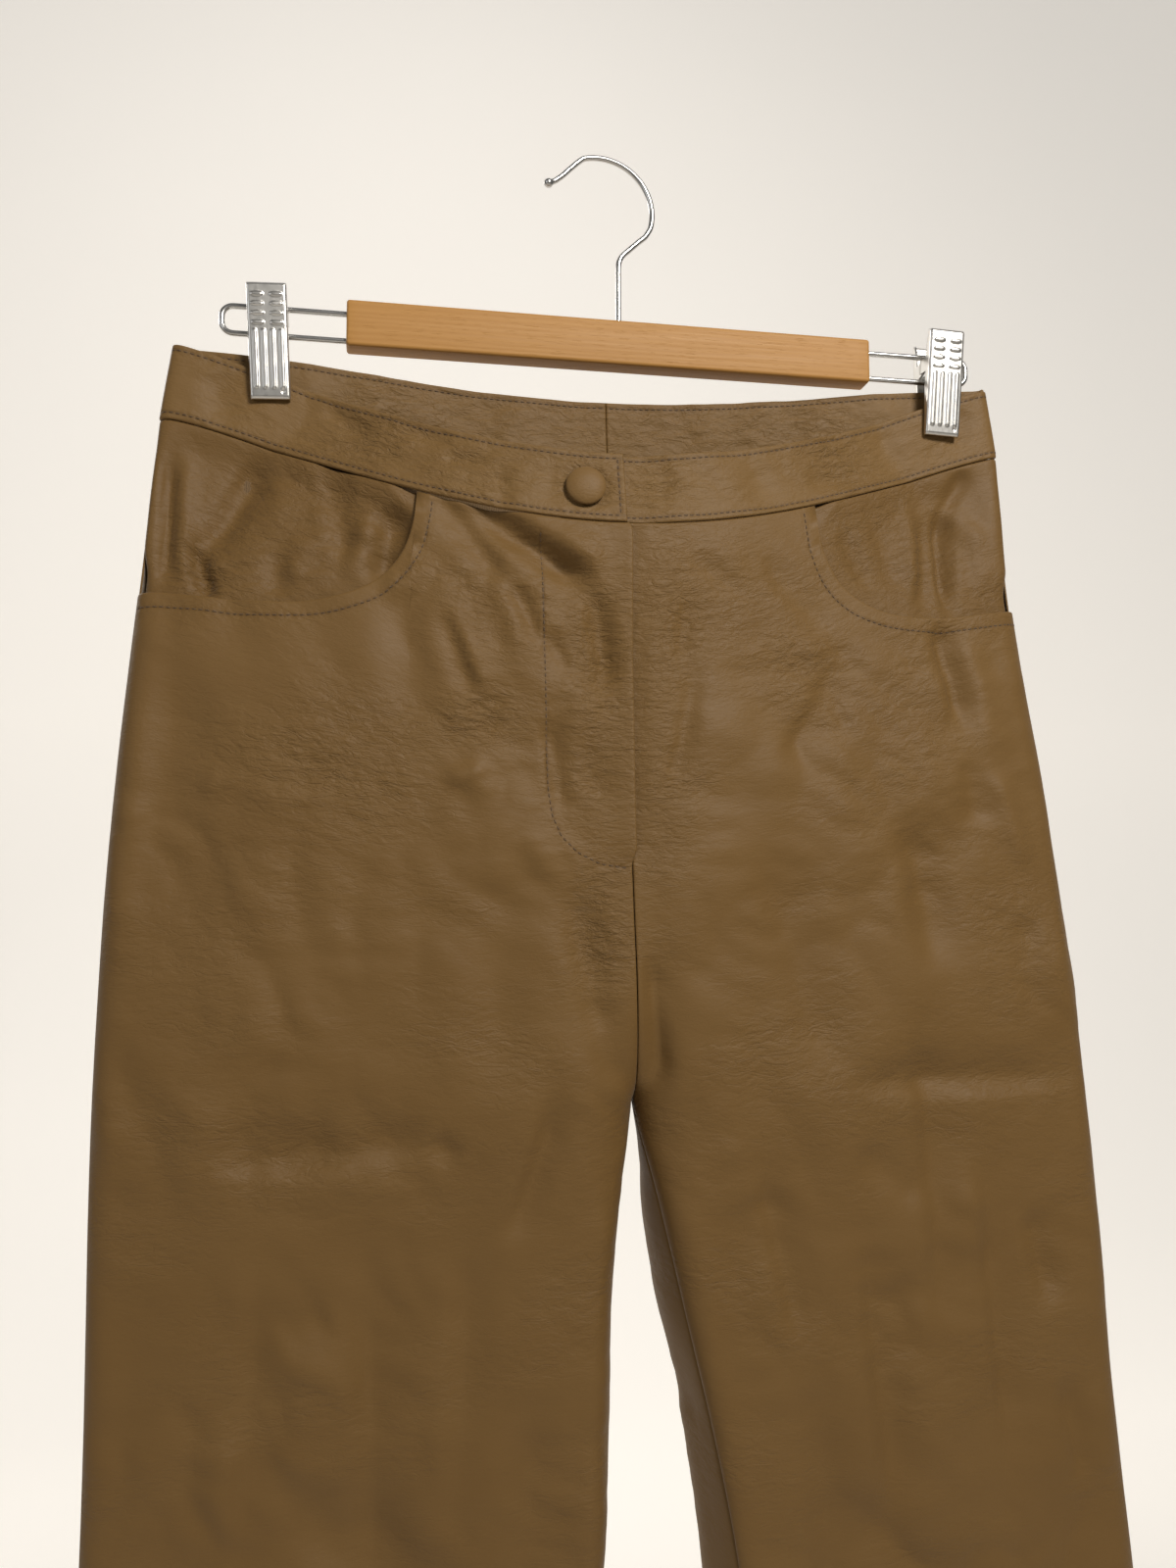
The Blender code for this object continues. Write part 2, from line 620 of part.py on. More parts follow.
def bore(target, centre, axis, radius, length):
    """Cuts a round hole of a given length about a centre point."""
    mesh = bpy.data.meshes.new(target.name + "_bore")
    work = bmesh.new()
    bmesh.ops.create_cone(work, cap_ends=True, segments=12, radius1=radius * MM, radius2=radius * MM,
                          depth=length * MM)
    work.to_mesh(mesh)
    work.free()
    cutter = bpy.data.objects.new(target.name + "_bore", mesh)
    bpy.context.collection.objects.link(cutter)
    place = Matrix.Translation(Vector(centre) * MM)
    cutter.matrix_world = place @ Vector(axis).to_track_quat("Z", "Y").to_matrix().to_4x4()
    cutter.hide_render = True
    cutter.display_type = "WIRE"
    cut = target.modifiers.new("bore", "BOOLEAN")
    cut.operation = "DIFFERENCE"
    cut.solver = "EXACT"
    cut.object = cutter


bar_low = (BAR_LEFT, -BAR_DEPTH / 2, BAR_BOTTOM)
bar_high = (BAR_RIGHT, BAR_DEPTH / 2, BAR_TOP)
bar = block("hanger_bar", bar_low, bar_high, BAR_EDGE, WOOD, 0.45)
bore(bar, (SHANK_X, 0, BAR_TOP), (0, 0, 1), BORE, 2 * SHANK_DEPTH)
for bar_end in (BAR_LEFT, BAR_RIGHT):
    for wire_height in (LOOP_TOP, LOOP_BOTTOM):
        bore(bar, (bar_end, 0, wire_height), (1, 0, 0), BORE, 2 * INSERT)

# --- clips: two folded steel jaws on a pin with a coil spring; the pin runs between the loop's wires ---

# Down the jaw: distance from its top, how far its face is bent towards the cloth, depth of its side
# flanges, and how far the inner skin stops short at the lip.  The ears are added at the pivot.
JAW_ROWS = (
    # down, bend, flange, short
    (0.0, 1.0, 2.0, 0.0),
    (1.2, 0.0, 3.4, 0.0),
    (7.0, 0.0, 5.0, 0.0),
    (27.0, 0.0, 4.8, 0.0),
    (40.0, 0.0, 4.0, 0.0),
    (48.0, 0.0, 3.2, 0.0),
    (51.8, 0.2, 2.6, 0.5),
    (53.0, 0.9, 1.2, 0.9),
    (53.0, CLIP_LIP, 0.6, 0.9),
)


def jaw(name, side, face, width):
    """One jaw of a clip.  face -1 is the front jaw, +1 the back one."""
    top_x, bottom_x, top_z = CLIPS[side]
    down_axis = Vector((bottom_x - top_x, -face * (CLIP_TOP_OUT - CLIP_BOTTOM_OUT), -CLIP_LENGTH))
    down_axis.normalize()
    in_axis = Vector((0, -face, 0))
    in_axis = (in_axis - down_axis * in_axis.dot(down_axis)).normalized()
    wide_axis = down_axis.cross(in_axis)
    top = Vector((top_x, face * CLIP_TOP_OUT, top_z))
    half = width / 2
    corner = CLIP_CORNER
    metal = CLIP_METAL
    turn = (corner - metal * 0.4) * 0.6
    pivot = top_z - CLIP_PIVOT
    rows = list(JAW_ROWS)
    for way in (-1, 1):
        rows.append((pivot + way * (EAR_HALF + EAR_SLOPE), 0.0, EAR_ROOT, 0.0))
        rows.append((pivot + way * EAR_HALF, 0.0, EAR, 0.0))
    rows.sort(key=lambda row: (row[0], row[1]))
    outer, inner = [], []
    for down, bend, flange, short in rows:
        deep = max(bend + flange, corner + bend + 0.1)
        outer_row = ((-half, deep), (-half, bend + corner), (-half + corner, bend), (0, bend),
                     (half - corner, bend), (half, bend + corner), (half, deep))
        inner_row = ((-half + metal, deep), (-half + metal, bend + metal + turn),
                     (-half + metal + turn, bend + metal), (0, bend + metal),
                     (half - metal - turn, bend + metal), (half - metal, bend + metal + turn),
                     (half - metal, deep))
        outer.append([top + wide_axis * u + in_axis * w + down_axis * down for u, w in outer_row])
        inner.append([top + wide_axis * u + in_axis * max(w, 0) + down_axis * (down - short)
                      for u, w in inner_row])
    return solid_sheet(name, np.array([[tuple(p) for p in row] for row in outer]),
                       np.array([[tuple(p) for p in row] for row in inner]), STEEL, 0.25, 1.0)


for side, label in ((-1, "right"), (1, "left")):
    top_x, bottom_x, top_z = CLIPS[side]
    pivot_x = top_x + (bottom_x - top_x) * (top_z - CLIP_PIVOT) / CLIP_LENGTH
    jaw("clip_" + label + "_front", side, -1, CLIP_WIDTH)
    jaw("clip_" + label + "_back", side, 1, CLIP_WIDTH - CLIP_NARROWER)
    spin = Matrix.Translation(Vector((pivot_x, 0, CLIP_PIVOT)) * MM)
    spin = spin @ Matrix.Rotation(math.pi / 2, 4, "Y")
    half_pin = (CLIP_WIDTH - CLIP_NARROWER) / 2 - CLIP_METAL - 2 * GAP
    pin_profile = ((0, -half_pin), (PIN_RADIUS, -half_pin), (PIN_RADIUS, half_pin), (0, half_pin))
    turned("clip_" + label + "_pin", pin_profile, spin, STEEL, 12, 0.3, 1.0)
    coil_bore = PIN_RADIUS + GAP
    coil_ring = ((coil_bore, -SPRING_HALF), (SPRING_RADIUS, -SPRING_HALF),
                 (SPRING_RADIUS, SPRING_HALF), (coil_bore, SPRING_HALF), (coil_bore, -SPRING_HALF))
    coil = turned("clip_" + label + "_spring", coil_ring, spin, STEEL, 16, 0.35, 1.0)
    weld = coil.modifiers.new("close", "WELD")
    weld.merge_threshold = 0.01 * MM
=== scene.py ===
import math

import bmesh
import bpy
import numpy as np
from mathutils import Matrix, Vector, noise


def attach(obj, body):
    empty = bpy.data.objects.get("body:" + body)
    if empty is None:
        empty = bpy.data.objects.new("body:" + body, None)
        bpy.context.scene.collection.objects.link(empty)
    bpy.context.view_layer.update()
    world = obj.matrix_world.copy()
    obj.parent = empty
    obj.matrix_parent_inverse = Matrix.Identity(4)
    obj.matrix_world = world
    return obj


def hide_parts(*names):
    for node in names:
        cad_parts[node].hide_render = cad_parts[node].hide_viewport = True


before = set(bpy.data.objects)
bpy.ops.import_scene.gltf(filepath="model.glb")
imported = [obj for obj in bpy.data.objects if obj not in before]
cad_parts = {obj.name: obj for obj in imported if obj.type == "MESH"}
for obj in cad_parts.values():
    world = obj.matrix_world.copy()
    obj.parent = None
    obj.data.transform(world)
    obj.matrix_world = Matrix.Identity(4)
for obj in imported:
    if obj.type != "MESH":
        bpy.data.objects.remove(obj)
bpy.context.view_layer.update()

# Faux leather trousers hanging by two spring clips from a wooden bar hanger.  The hanger comes first,
# then the trousers are made up and hung on it.  Sizes in the tables are millimetres; meshes are
# metres, +Z up, front towards -Y, the wearer's right side at -X.

# --- Hanger bar -----------------------------------------------------------------------------------
# A sawn and sanded strip of pale hardwood, 257 x 22 x 12 mm, with broken edges under a clear satin
# lacquer.  Its ends are bored for the loop wires and its top for the hook.

MM = 0.001
BAR_LEFT, BAR_RIGHT = -126.0, 131.0
BAR_TOP, BAR_BOTTOM = -82.0, -104.0
BAR_DEPTH = 12.0
BAR_EDGE = 1.5
SHARP_FROM = 40


def add_node(tree, kind, place=(0, 0), **settings):
    node = tree.nodes.new(kind)
    node.location = place
    for name, value in settings.items():
        setattr(node, name, value)
    return node


def blank_finish(name):
    """A new material with its node tree and its shader."""
    material = bpy.data.materials.new(name)
    material.use_nodes = True
    return material, material.node_tree, material.node_tree.nodes["Principled BSDF"]


def new_group(name, inputs, outputs):
    """An empty shader group with named sockets."""
    tree = bpy.data.node_groups.new(name, "ShaderNodeTree")
    for label, kind, value in inputs:
        socket = tree.interface.new_socket(label, in_out="INPUT", socket_type=kind)
        if value is not None:
            socket.default_value = value
    for label, kind in outputs:
        tree.interface.new_socket(label, in_out="OUTPUT", socket_type=kind)
    return tree, tree.nodes.new("NodeGroupInput"), tree.nodes.new("NodeGroupOutput")


def maths(tree, operation, first, second=None, third=None):
    """A Math node; its inputs are sockets or numbers."""
    node = add_node(tree, "ShaderNodeMath", operation=operation)
    for socket, value in zip(node.inputs, (first, second, third)):
        if value is None:
            continue
        if isinstance(value, (int, float)):
            socket.default_value = value
        else:
            tree.links.new(value, socket)
    return node.outputs[0]


def mixed(tree, share, first, second):
    """A colour mix; each input is a socket or a value."""
    node = add_node(tree, "ShaderNodeMix", data_type="RGBA")
    for socket, value in ((node.inputs["Factor"], share), (node.inputs[6], first),
                          (node.inputs[7], second)):
        if hasattr(value, "links"):
            tree.links.new(value, socket)
        else:
            socket.default_value = value
    return node.outputs[2]


def noise_at(tree, vector, scale, detail=2.0, distortion=0.0):
    node = add_node(tree, "ShaderNodeTexNoise")
    node.inputs["Scale"].default_value = scale
    node.inputs["Detail"].default_value = detail
    node.inputs["Distortion"].default_value = distortion
    tree.links.new(vector, node.inputs["Vector"])
    return node.outputs["Fac"]


def stretched(tree, vector, scale, turn=0.0):
    node = add_node(tree, "ShaderNodeMapping")
    node.inputs["Scale"].default_value = scale
    node.inputs["Rotation"].default_value = (0, 0, math.radians(turn))
    tree.links.new(vector, node.inputs["Vector"])
    return node.outputs["Vector"]


def wear_group(tree, shader, group_tree):
    """Puts a shared surface group into a material, with its height in a Bump node."""
    group = add_node(tree, "ShaderNodeGroup", (-600, 0), node_tree=group_tree)
    bump = add_node(tree, "ShaderNodeBump", (-250, -250))
    bump.inputs["Distance"].default_value = MM
    tree.links.new(group.outputs["Height"], bump.inputs["Height"])
    tree.links.new(group.outputs["Colour"], shader.inputs["Base Color"])
    tree.links.new(group.outputs["Roughness"], shader.inputs["Roughness"])
    tree.links.new(bump.outputs["Normal"], shader.inputs["Normal"])
    return group


def wood_grain():
    """Long straight grain, pores and faint rings seen on the bar's faces."""
    tree, given, out = new_group("wood_grain", (("Pores", "NodeSocketFloat", 1.0),),
                                 (("Colour", "NodeSocketColor"), ("Roughness", "NodeSocketFloat"),
                                  ("Height", "NodeSocketFloat")))
    where = add_node(tree, "ShaderNodeTexCoord").outputs["Object"]
    long_way = stretched(tree, where, (9, 120, 150))
    rings = add_node(tree, "ShaderNodeTexWave", wave_type="BANDS", bands_direction="Z")
    rings.inputs["Scale"].default_value = 0.8
    rings.inputs["Distortion"].default_value = 6.0
    rings.inputs["Detail"].default_value = 3.0
    rings.inputs["Detail Scale"].default_value = 1.2
    tree.links.new(long_way, rings.inputs["Vector"])
    streaks = noise_at(tree, stretched(tree, where, (22, 900, 1100)), 1.0, 4.0)
    broad = noise_at(tree, stretched(tree, where, (12, 60, 70)), 1.0, 2.0)
    tone = maths(tree, "MULTIPLY_ADD", rings.outputs["Fac"], 0.35, maths(tree, "MULTIPLY", streaks, 0.5))
    tone = maths(tree, "MULTIPLY_ADD", broad, 0.4, tone)
    colour = mixed(tree, tone, (0.475, 0.245, 0.068, 1), (0.395, 0.190, 0.044, 1))
    pores = noise_at(tree, stretched(tree, where, (90, 3000, 3400)), 1.0, 2.0)
    pores = maths(tree, "MULTIPLY", maths(tree, "GREATER_THAN", pores, 0.66), given.outputs["Pores"])
    colour = mixed(tree, maths(tree, "MULTIPLY", pores, 0.25), colour, (0.22, 0.09, 0.025, 1))
    tree.links.new(colour, out.inputs["Colour"])
    tree.links.new(maths(tree, "MULTIPLY_ADD", streaks, 0.2, 0.42), out.inputs["Roughness"])
    tree.links.new(maths(tree, "SUBTRACT", maths(tree, "MULTIPLY", streaks, 0.06),
                         maths(tree, "MULTIPLY", pores, 0.03)), out.inputs["Height"])
    return tree


WOOD, wood_tree, wood_shader = blank_finish("lacquered_wood")
wear_group(wood_tree, wood_shader, wood_grain())
wood_shader.inputs["Specular IOR Level"].default_value = 0.3


def made(name, mesh, *materials):
    """Gives a mesh its materials and smooth shading and stands it in the scene."""
    for material in materials:
        mesh.materials.append(material)
    mesh.shade_smooth()
    piece = bpy.data.objects.new(name, mesh)
    bpy.context.scene.collection.objects.link(piece)
    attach(piece, "root")
    return piece


def stands_for(piece, node):
    """Hides the node that a piece stands in for; the piece itself is not used."""
    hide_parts(node)


def lofted(name, rings, material):
    """Joins closed rings of points in millimetres into one skin, closed at both ends."""
    rings = np.asarray(rings)
    count, sides = rings.shape[:2]
    faces = []
    for ring in range(count - 1):
        for k in range(sides):
            there = (k + 1) % sides
            faces.append((ring * sides + k, ring * sides + there,
                          (ring + 1) * sides + there, (ring + 1) * sides + k))
    faces.append(tuple(range(sides - 1, -1, -1)))
    faces.append(tuple(range((count - 1) * sides, count * sides)))
    mesh = bpy.data.meshes.new(name)
    mesh.from_pydata((rings.reshape(-1, 3) * MM).tolist(), [], faces)
    work = bmesh.new()
    work.from_mesh(mesh)
    bmesh.ops.recalc_face_normals(work, faces=work.faces)
    work.to_mesh(mesh)
    work.free()
    piece = made(name + "_made", mesh, material)
    mesh.set_sharp_from_angle(angle=math.radians(SHARP_FROM))
    return piece


def rounded_outline(half_y, half_z, radius, steps=5):
    """Outline of a strip with rounded edges, as (y, z) pairs."""
    outline = []
    for corner_y, corner_z, start in ((1, 1, 0), (-1, 1, 90), (-1, -1, 180), (1, -1, 270)):
        for step in range(steps + 1):
            turn = math.radians(start + 90 * step / steps)
            outline.append((corner_y * (half_y - radius) + radius * math.cos(turn),
                            corner_z * (half_z - radius) + radius * math.sin(turn)))
    return np.array(outline)


turns = [math.pi / 2 * step / 6 for step in range(7)]
bar_end = [(BAR_EDGE * (1 - math.cos(turn)), BAR_EDGE * (1 - math.sin(turn))) for turn in turns]
places = [(BAR_LEFT + along, inset) for along, inset in bar_end]
places += [(x, 0.0) for x in np.linspace(BAR_LEFT + 6, BAR_RIGHT - 6, 60)]
places += [(BAR_RIGHT - along, inset) for along, inset in bar_end[::-1]]
rings = []
for x, inset in places:
    worn = 0.12 * noise.noise(Vector((x / 18, 4.0, 0.0)))
    outline = rounded_outline(BAR_DEPTH / 2 - inset, (BAR_TOP - BAR_BOTTOM) / 2 - inset + worn * 0.5,
                              max(BAR_EDGE - inset + worn, 0.3))
    middle = (BAR_TOP + BAR_BOTTOM) / 2
    rings.append([(x, y, middle + z) for y, z in outline])
stands_for(lofted("hanger_bar", rings, WOOD), "hanger_bar")

# --- Hook and loops -------------------------------------------------------------------------------
# Bright chromed steel wire, 2.8 mm: a hook with a small ball end screwed into the top of the bar, and
# a long loop driven into each end, on which a clip slides.

RIGHT, LEFT = -1, 1
WIRE = 1.4
SHANK_X = 4.0
HOOK_CENTRE = (-6.2, -25.04)
HOOK_RADIUS = 27.2
LOOP_TOP, LOOP_BOTTOM = -87.0, -100.0
LOOP_ENDS = {RIGHT: -182.6, LEFT: 184.6}
LOOP_CORNER = 5.0


def chrome(name, colour, low, high):
    """Chromed steel with faint drawn streaks and wear in its polish."""
    material, tree, shader = blank_finish(name)
    where = add_node(tree, "ShaderNodeTexCoord").outputs["Object"]
    cloud = noise_at(tree, where, 260.0, 4.0)
    fine = noise_at(tree, stretched(tree, where, (1500, 1500, 260)), 1.0, 2.0)
    wear = maths(tree, "MULTIPLY", maths(tree, "ADD", cloud, fine), 0.5)
    darker = tuple(c * 0.82 for c in colour)
    tree.links.new(mixed(tree, wear, (*colour, 1), (*darker, 1)), shader.inputs["Base Color"])
    tree.links.new(maths(tree, "MULTIPLY_ADD", wear, high - low, low), shader.inputs["Roughness"])
    shader.inputs["Metallic"].default_value = 1.0
    return material


CHROME = chrome("chromed_steel_wire", (0.66, 0.65, 0.63), 0.14, 0.34)
CHROME_PLATE = chrome("chromed_steel_plate", (0.80, 0.78, 0.74), 0.20, 0.44)


def arc(centre, radius, first, last, steps):
    turns = np.radians(np.linspace(first, last, steps + 1))
    return [(centre[0] + radius * math.cos(t), centre[1] + radius * math.sin(t)) for t in turns]


def rounded_path(points, step=1.0):
    """Even points along a line in the hanger's plane, eased through its corners."""
    points = np.array(points, float)
    length = np.concatenate(((0,), np.cumsum(np.linalg.norm(np.diff(points, axis=0), axis=1))))
    along = np.linspace(0, length[-1], max(int(length[-1] / step), 2) + 1)
    line = np.stack([np.interp(along, length, points[:, k]) for k in (0, 1)], axis=1)
    for _ in range(2):
        line[1:-1] = (line[:-2] + 2 * line[1:-1] + line[2:]) / 4
    return line


def wire(name, path, radii, sides=18):
    """A round wire along a line of (x, z) points in the hanger's plane."""
    heading = np.gradient(path, axis=0)
    heading /= np.linalg.norm(heading, axis=1, keepdims=True)
    rings = []
    for (x, z), (run, rise), radius in zip(path, heading, radii):
        ring = []
        for k in range(sides):
            turn = 2 * math.pi * k / sides
            side_way, depth = radius * math.cos(turn), radius * math.sin(turn)
            ring.append((x + rise * side_way, depth, z - run * side_way))
        rings.append(ring)
    return lofted(name, rings, CHROME)


hook_line = [(SHANK_X, -96.7), (SHANK_X, -56), (SHANK_X, -52), (SHANK_X + 0.5, -49.4),
             (SHANK_X + 1.9, -46.8), (SHANK_X + 4.4, -44.5), (14.6, -38.6), (17.4, -36.4)]
hook_line += arc(HOOK_CENTRE, HOOK_RADIUS, -14, 106, 40)
hook_line += [(-17.0, -1.9), (-20.6, -5.4), (-24.0, -8.9), (-27.2, -11.4)]
hook_path = rounded_path(hook_line)
ball = [(-28.8 - 0.92 * reach, -12.2 - 0.39 * reach) for reach in (0, 0.5, 1.2, 2.1, 3.0, 3.7, 4.1, 4.25)]
ball_radii = [2.3 * share for share in (0.62, 0.78, 0.94, 1.0, 0.9, 0.62, 0.32, 0.06)]
hook = wire("hanger_hook", np.vstack((hook_path, ball)), [WIRE] * len(hook_path) + ball_radii)
stands_for(hook, "hanger_hook")
for side, label in ((RIGHT, "right"), (LEFT, "left")):
    inside_x = (BAR_LEFT if side == RIGHT else BAR_RIGHT) - side * 19
    turn_x = LOOP_ENDS[side] - side * LOOP_CORNER
    upper, lower = (turn_x, LOOP_TOP - LOOP_CORNER), (turn_x, LOOP_BOTTOM + LOOP_CORNER)
    if side == LEFT:
        bend = arc(upper, LOOP_CORNER, 90, 0, 12) + arc(lower, LOOP_CORNER, 0, -90, 12)
    else:
        bend = arc(upper, LOOP_CORNER, 90, 180, 12) + arc(lower, LOOP_CORNER, 180, 270, 12)
    path = rounded_path([(inside_x, LOOP_TOP)] + bend + [(inside_x, LOOP_BOTTOM)], 0.7)
    loop = wire("hanger_loop_" + label, path, [WIRE] * len(path))
    stands_for(loop, "hanger_loop_" + label)

# --- Clips ----------------------------------------------------------------------------------------
# Pressed from 0.9 mm chromed steel: a front jaw stiffened with ribs and finger ridges, a plain back
# jaw, a pin through the ears of both, and a coil spring on the pin.  They grip the waistband.

FRONT, BACK = -1, 1
# A clip's places: its top's x, its lower end's x, and its top's z.
CLIPS = {RIGHT: (-162.0, -159.3, -80.3), LEFT: (169.8, 168.0, -77.0)}
CLIP_LENGTH = 53.0
CLIP_METAL = 0.9
CLIP_CORNER = 1.3
CLIP_PIVOT = -93.5
TOP_OUT, BOTTOM_OUT = 13.0, 7.6
JAW = {
    "down":   (0, 1.2, 7, 27, 40, 48, 51.8, 53.0, 53.6),
    "bend":   (1.0, 0, 0, 0, 0, 0, 0.2, 0.9, 1.6),
    "flange": (2.0, 3.4, 5.0, 4.8, 4.0, 3.2, 2.6, 1.2, 0.6),
}
EAR = {"half": 3.7, "round": 6.4, "reach": 12.6}
PIN_HALF = 6.2
SPRING = {"radius": 2.75, "wire_radius": 0.8, "half": 4.6, "turns": 5}
RIDGES = {"first": 5.6, "pitch": 4.3, "count": 4, "across": 4.3, "half": (3.3, 1.15), "rise": 0.55}
RIBS = {"across": (-5.9, -2.0, 2.0, 5.9), "half": 1.35, "from": 22.5, "to": 47.4, "rise": 0.55}
DOTS = {"down": 49.6, "radius": 1.05, "rise": 0.5}


def smooth(t):
    """Runs from 0 to 1 and is level at both ends."""
    t = np.clip(t, 0, 1)
    return t * t * (3 - 2 * t)


def embossing(across, down):
    """How far the pressed pattern stands out of a front jaw."""
    height = np.zeros(np.shape(across))
    for row in range(RIDGES["count"]):
        for way in (-1, 1):
            u = (across - way * RIDGES["across"]) / RIDGES["half"][0]
            v = (down - RIDGES["first"] - RIDGES["pitch"] * row) / RIDGES["half"][1]
            height = np.maximum(height, RIDGES["rise"] * smooth(1.6 * (1 - u * u - v * v)))
    for middle in RIBS["across"]:
        past = np.maximum(np.maximum(RIBS["from"] - down, down - RIBS["to"]), 0)
        away = np.hypot(across - middle, past) / RIBS["half"]
        height = np.maximum(height, RIBS["rise"] * smooth(1.5 * (1 - away)))
        away = np.hypot(across - middle, down - DOTS["down"]) / DOTS["radius"]
        height = height - DOTS["rise"] * smooth(1.5 * (1 - away))
    return height


def sheet_mesh(name, outer, inner, uv, layers, materials):
    """A closed wall between two grids of points in millimetres, with smooth shading."""
    rows, columns = outer.shape[:2]
    count = rows * columns
    index = np.arange(count).reshape(rows, columns)
    quads = np.stack((index[:-1, :-1], index[:-1, 1:], index[1:, 1:], index[1:, :-1]), axis=-1)
    quads = quads.reshape(-1, 4)
    ring = np.concatenate((index[0, :-1], index[:-1, -1], index[-1, :0:-1], index[:0:-1, 0]))
    after = np.roll(ring, -1)
    rim = np.stack((ring, ring + count, after + count, after), axis=-1)
    step = outer[rows // 2, columns // 2] - inner[rows // 2, columns // 2]
    a, b = outer[rows // 2, columns // 2], outer[rows // 2 + 1, columns // 2]
    c = outer[rows // 2, columns // 2 + 1]
    facing_out = np.dot(np.cross(c - a, b - a), step) > 0
    back = quads + count
    if facing_out:
        faces = np.concatenate((quads, back[:, ::-1], rim))
    else:
        faces = np.concatenate((quads[:, ::-1], back, rim[:, ::-1]))
    points = np.concatenate((outer.reshape(-1, 3), inner.reshape(-1, 3))) * MM
    mesh = bpy.data.meshes.new(name)
    mesh.from_pydata(points.tolist(), [], faces.tolist())
    both = np.concatenate((uv.reshape(-1, 2), uv.reshape(-1, 2)))
    corner = np.empty(len(mesh.loops), int)
    mesh.loops.foreach_get("vertex_index", corner)
    mesh.uv_layers.new(name="cloth").data.foreach_set("uv", both[corner].ravel())
    for label, values in layers.items():
        layer = mesh.attributes.new(label, "FLOAT", "POINT")
        layer.data.foreach_set("value", np.concatenate((values.ravel(), values.ravel())))
    inside = np.zeros(len(mesh.polygons), int)
    inside[len(quads):2 * len(quads)] = len(materials) - 1
    mesh.polygons.foreach_set("material_index", inside)
    return made(name + "_made", mesh, *materials)


def jaw(name, side, face, width, columns, rows):
    """One jaw: a channel of thin steel with its flanges folded towards the cloth."""
    top_x, bottom_x, top_z = CLIPS[side]
    down_axis = np.array((bottom_x - top_x, -face * (TOP_OUT - BOTTOM_OUT), -CLIP_LENGTH))
    down_axis /= np.linalg.norm(down_axis)
    in_axis = np.array((0.0, -face, 0.0))
    in_axis -= down_axis * (in_axis @ down_axis)
    in_axis /= np.linalg.norm(in_axis)
    wide_axis = np.cross(down_axis, in_axis)
    top = np.array((top_x, face * TOP_OUT, top_z))
    half = width / 2
    pivot = top_z - CLIP_PIVOT
    downs = np.unique(np.round(np.concatenate((
        np.linspace(0, JAW["down"][-1], rows), pivot + np.linspace(-3.8, 3.8, 13))), 3))
    bend = np.interp(downs, JAW["down"], JAW["bend"])
    flange = np.interp(downs, JAW["down"], JAW["flange"])
    from_pivot = np.abs(downs - pivot)
    ear = EAR["reach"] * np.sqrt(np.maximum(1 - (from_pivot / EAR["round"]) ** 4, 0))
    ear = np.where(from_pivot < EAR["half"], ear, 0)
    flange = np.maximum(flange, ear)
    corner, metal = CLIP_CORNER, CLIP_METAL
    turns = np.radians(np.linspace(0, 90, 7))
    flat_u = np.linspace(-half + corner, half - corner, columns)[1:-1]
    outer, inner = [], []
    for down, bent, deep in zip(downs, bend, flange):
        deep = max(bent + deep, bent + corner + 0.1)
        reach = min(down, CLIP_LENGTH)
        drawn = np.linspace(1, 0, 5)[:-1]
        left = [(-half, bent + corner + (deep - bent - corner) * s) for s in drawn]
        left += [(-half + corner * (1 - math.cos(t)), bent + corner * (1 - math.sin(t))) for t in turns]
        rise = embossing(flat_u, down) if face == FRONT else np.zeros(len(flat_u))
        face_row = left + [(u, bent - r) for u, r in zip(flat_u, rise)]
        face_row += [(-u, w) for u, w in left[::-1]]
        tight = corner - metal
        inside_left = [(-half + metal, bent + corner + (deep - bent - corner) * s) for s in drawn]
        inside_left += [(-half + metal + tight * (1 - math.cos(t)), bent + metal + tight * (1 - math.sin(t)))
                        for t in turns]
        inside_row = inside_left + [(u, bent + metal - r) for u, r in zip(flat_u, rise)]
        inside_row += [(-u, w) for u, w in inside_left[::-1]]
        short = 0.9 * smooth((down - 51) / 2.6)
        outer.append([top + wide_axis * u + in_axis * w + down_axis * reach for u, w in face_row])
        inner.append([top + wide_axis * u + in_axis * max(w, 0) + down_axis * (reach - short)
                      for u, w in inside_row])
    outer, inner = np.array(outer), np.array(inner)
    flat = np.zeros(outer.shape[:2] + (2,))
    piece = sheet_mesh(name, outer, inner, flat, {}, (CHROME_PLATE,))
    stands_for(piece, name)


def turned_mesh(name, profile, sides, material):
    """A round piece; profile runs (radius, height) from the axis round to the axis."""
    work = bmesh.new()
    rings = []
    for radius, rise in profile:
        if radius == 0:
            rings.append([work.verts.new((0, 0, rise * MM))] * sides)
            continue
        rings.append([work.verts.new((radius * MM * math.cos(2 * math.pi * k / sides),
                                      radius * MM * math.sin(2 * math.pi * k / sides), rise * MM))
                      for k in range(sides)])
    for lower, upper in zip(rings, rings[1:]):
        for k in range(sides):
            there = (k + 1) % sides
            corners = (lower[k], lower[there], upper[there], upper[k])
            work.faces.new(tuple(dict.fromkeys(corners)))
    bmesh.ops.recalc_face_normals(work, faces=work.faces)
    mesh = bpy.data.meshes.new(name)
    work.to_mesh(mesh)
    work.free()
    return made(name + "_made", mesh, material)


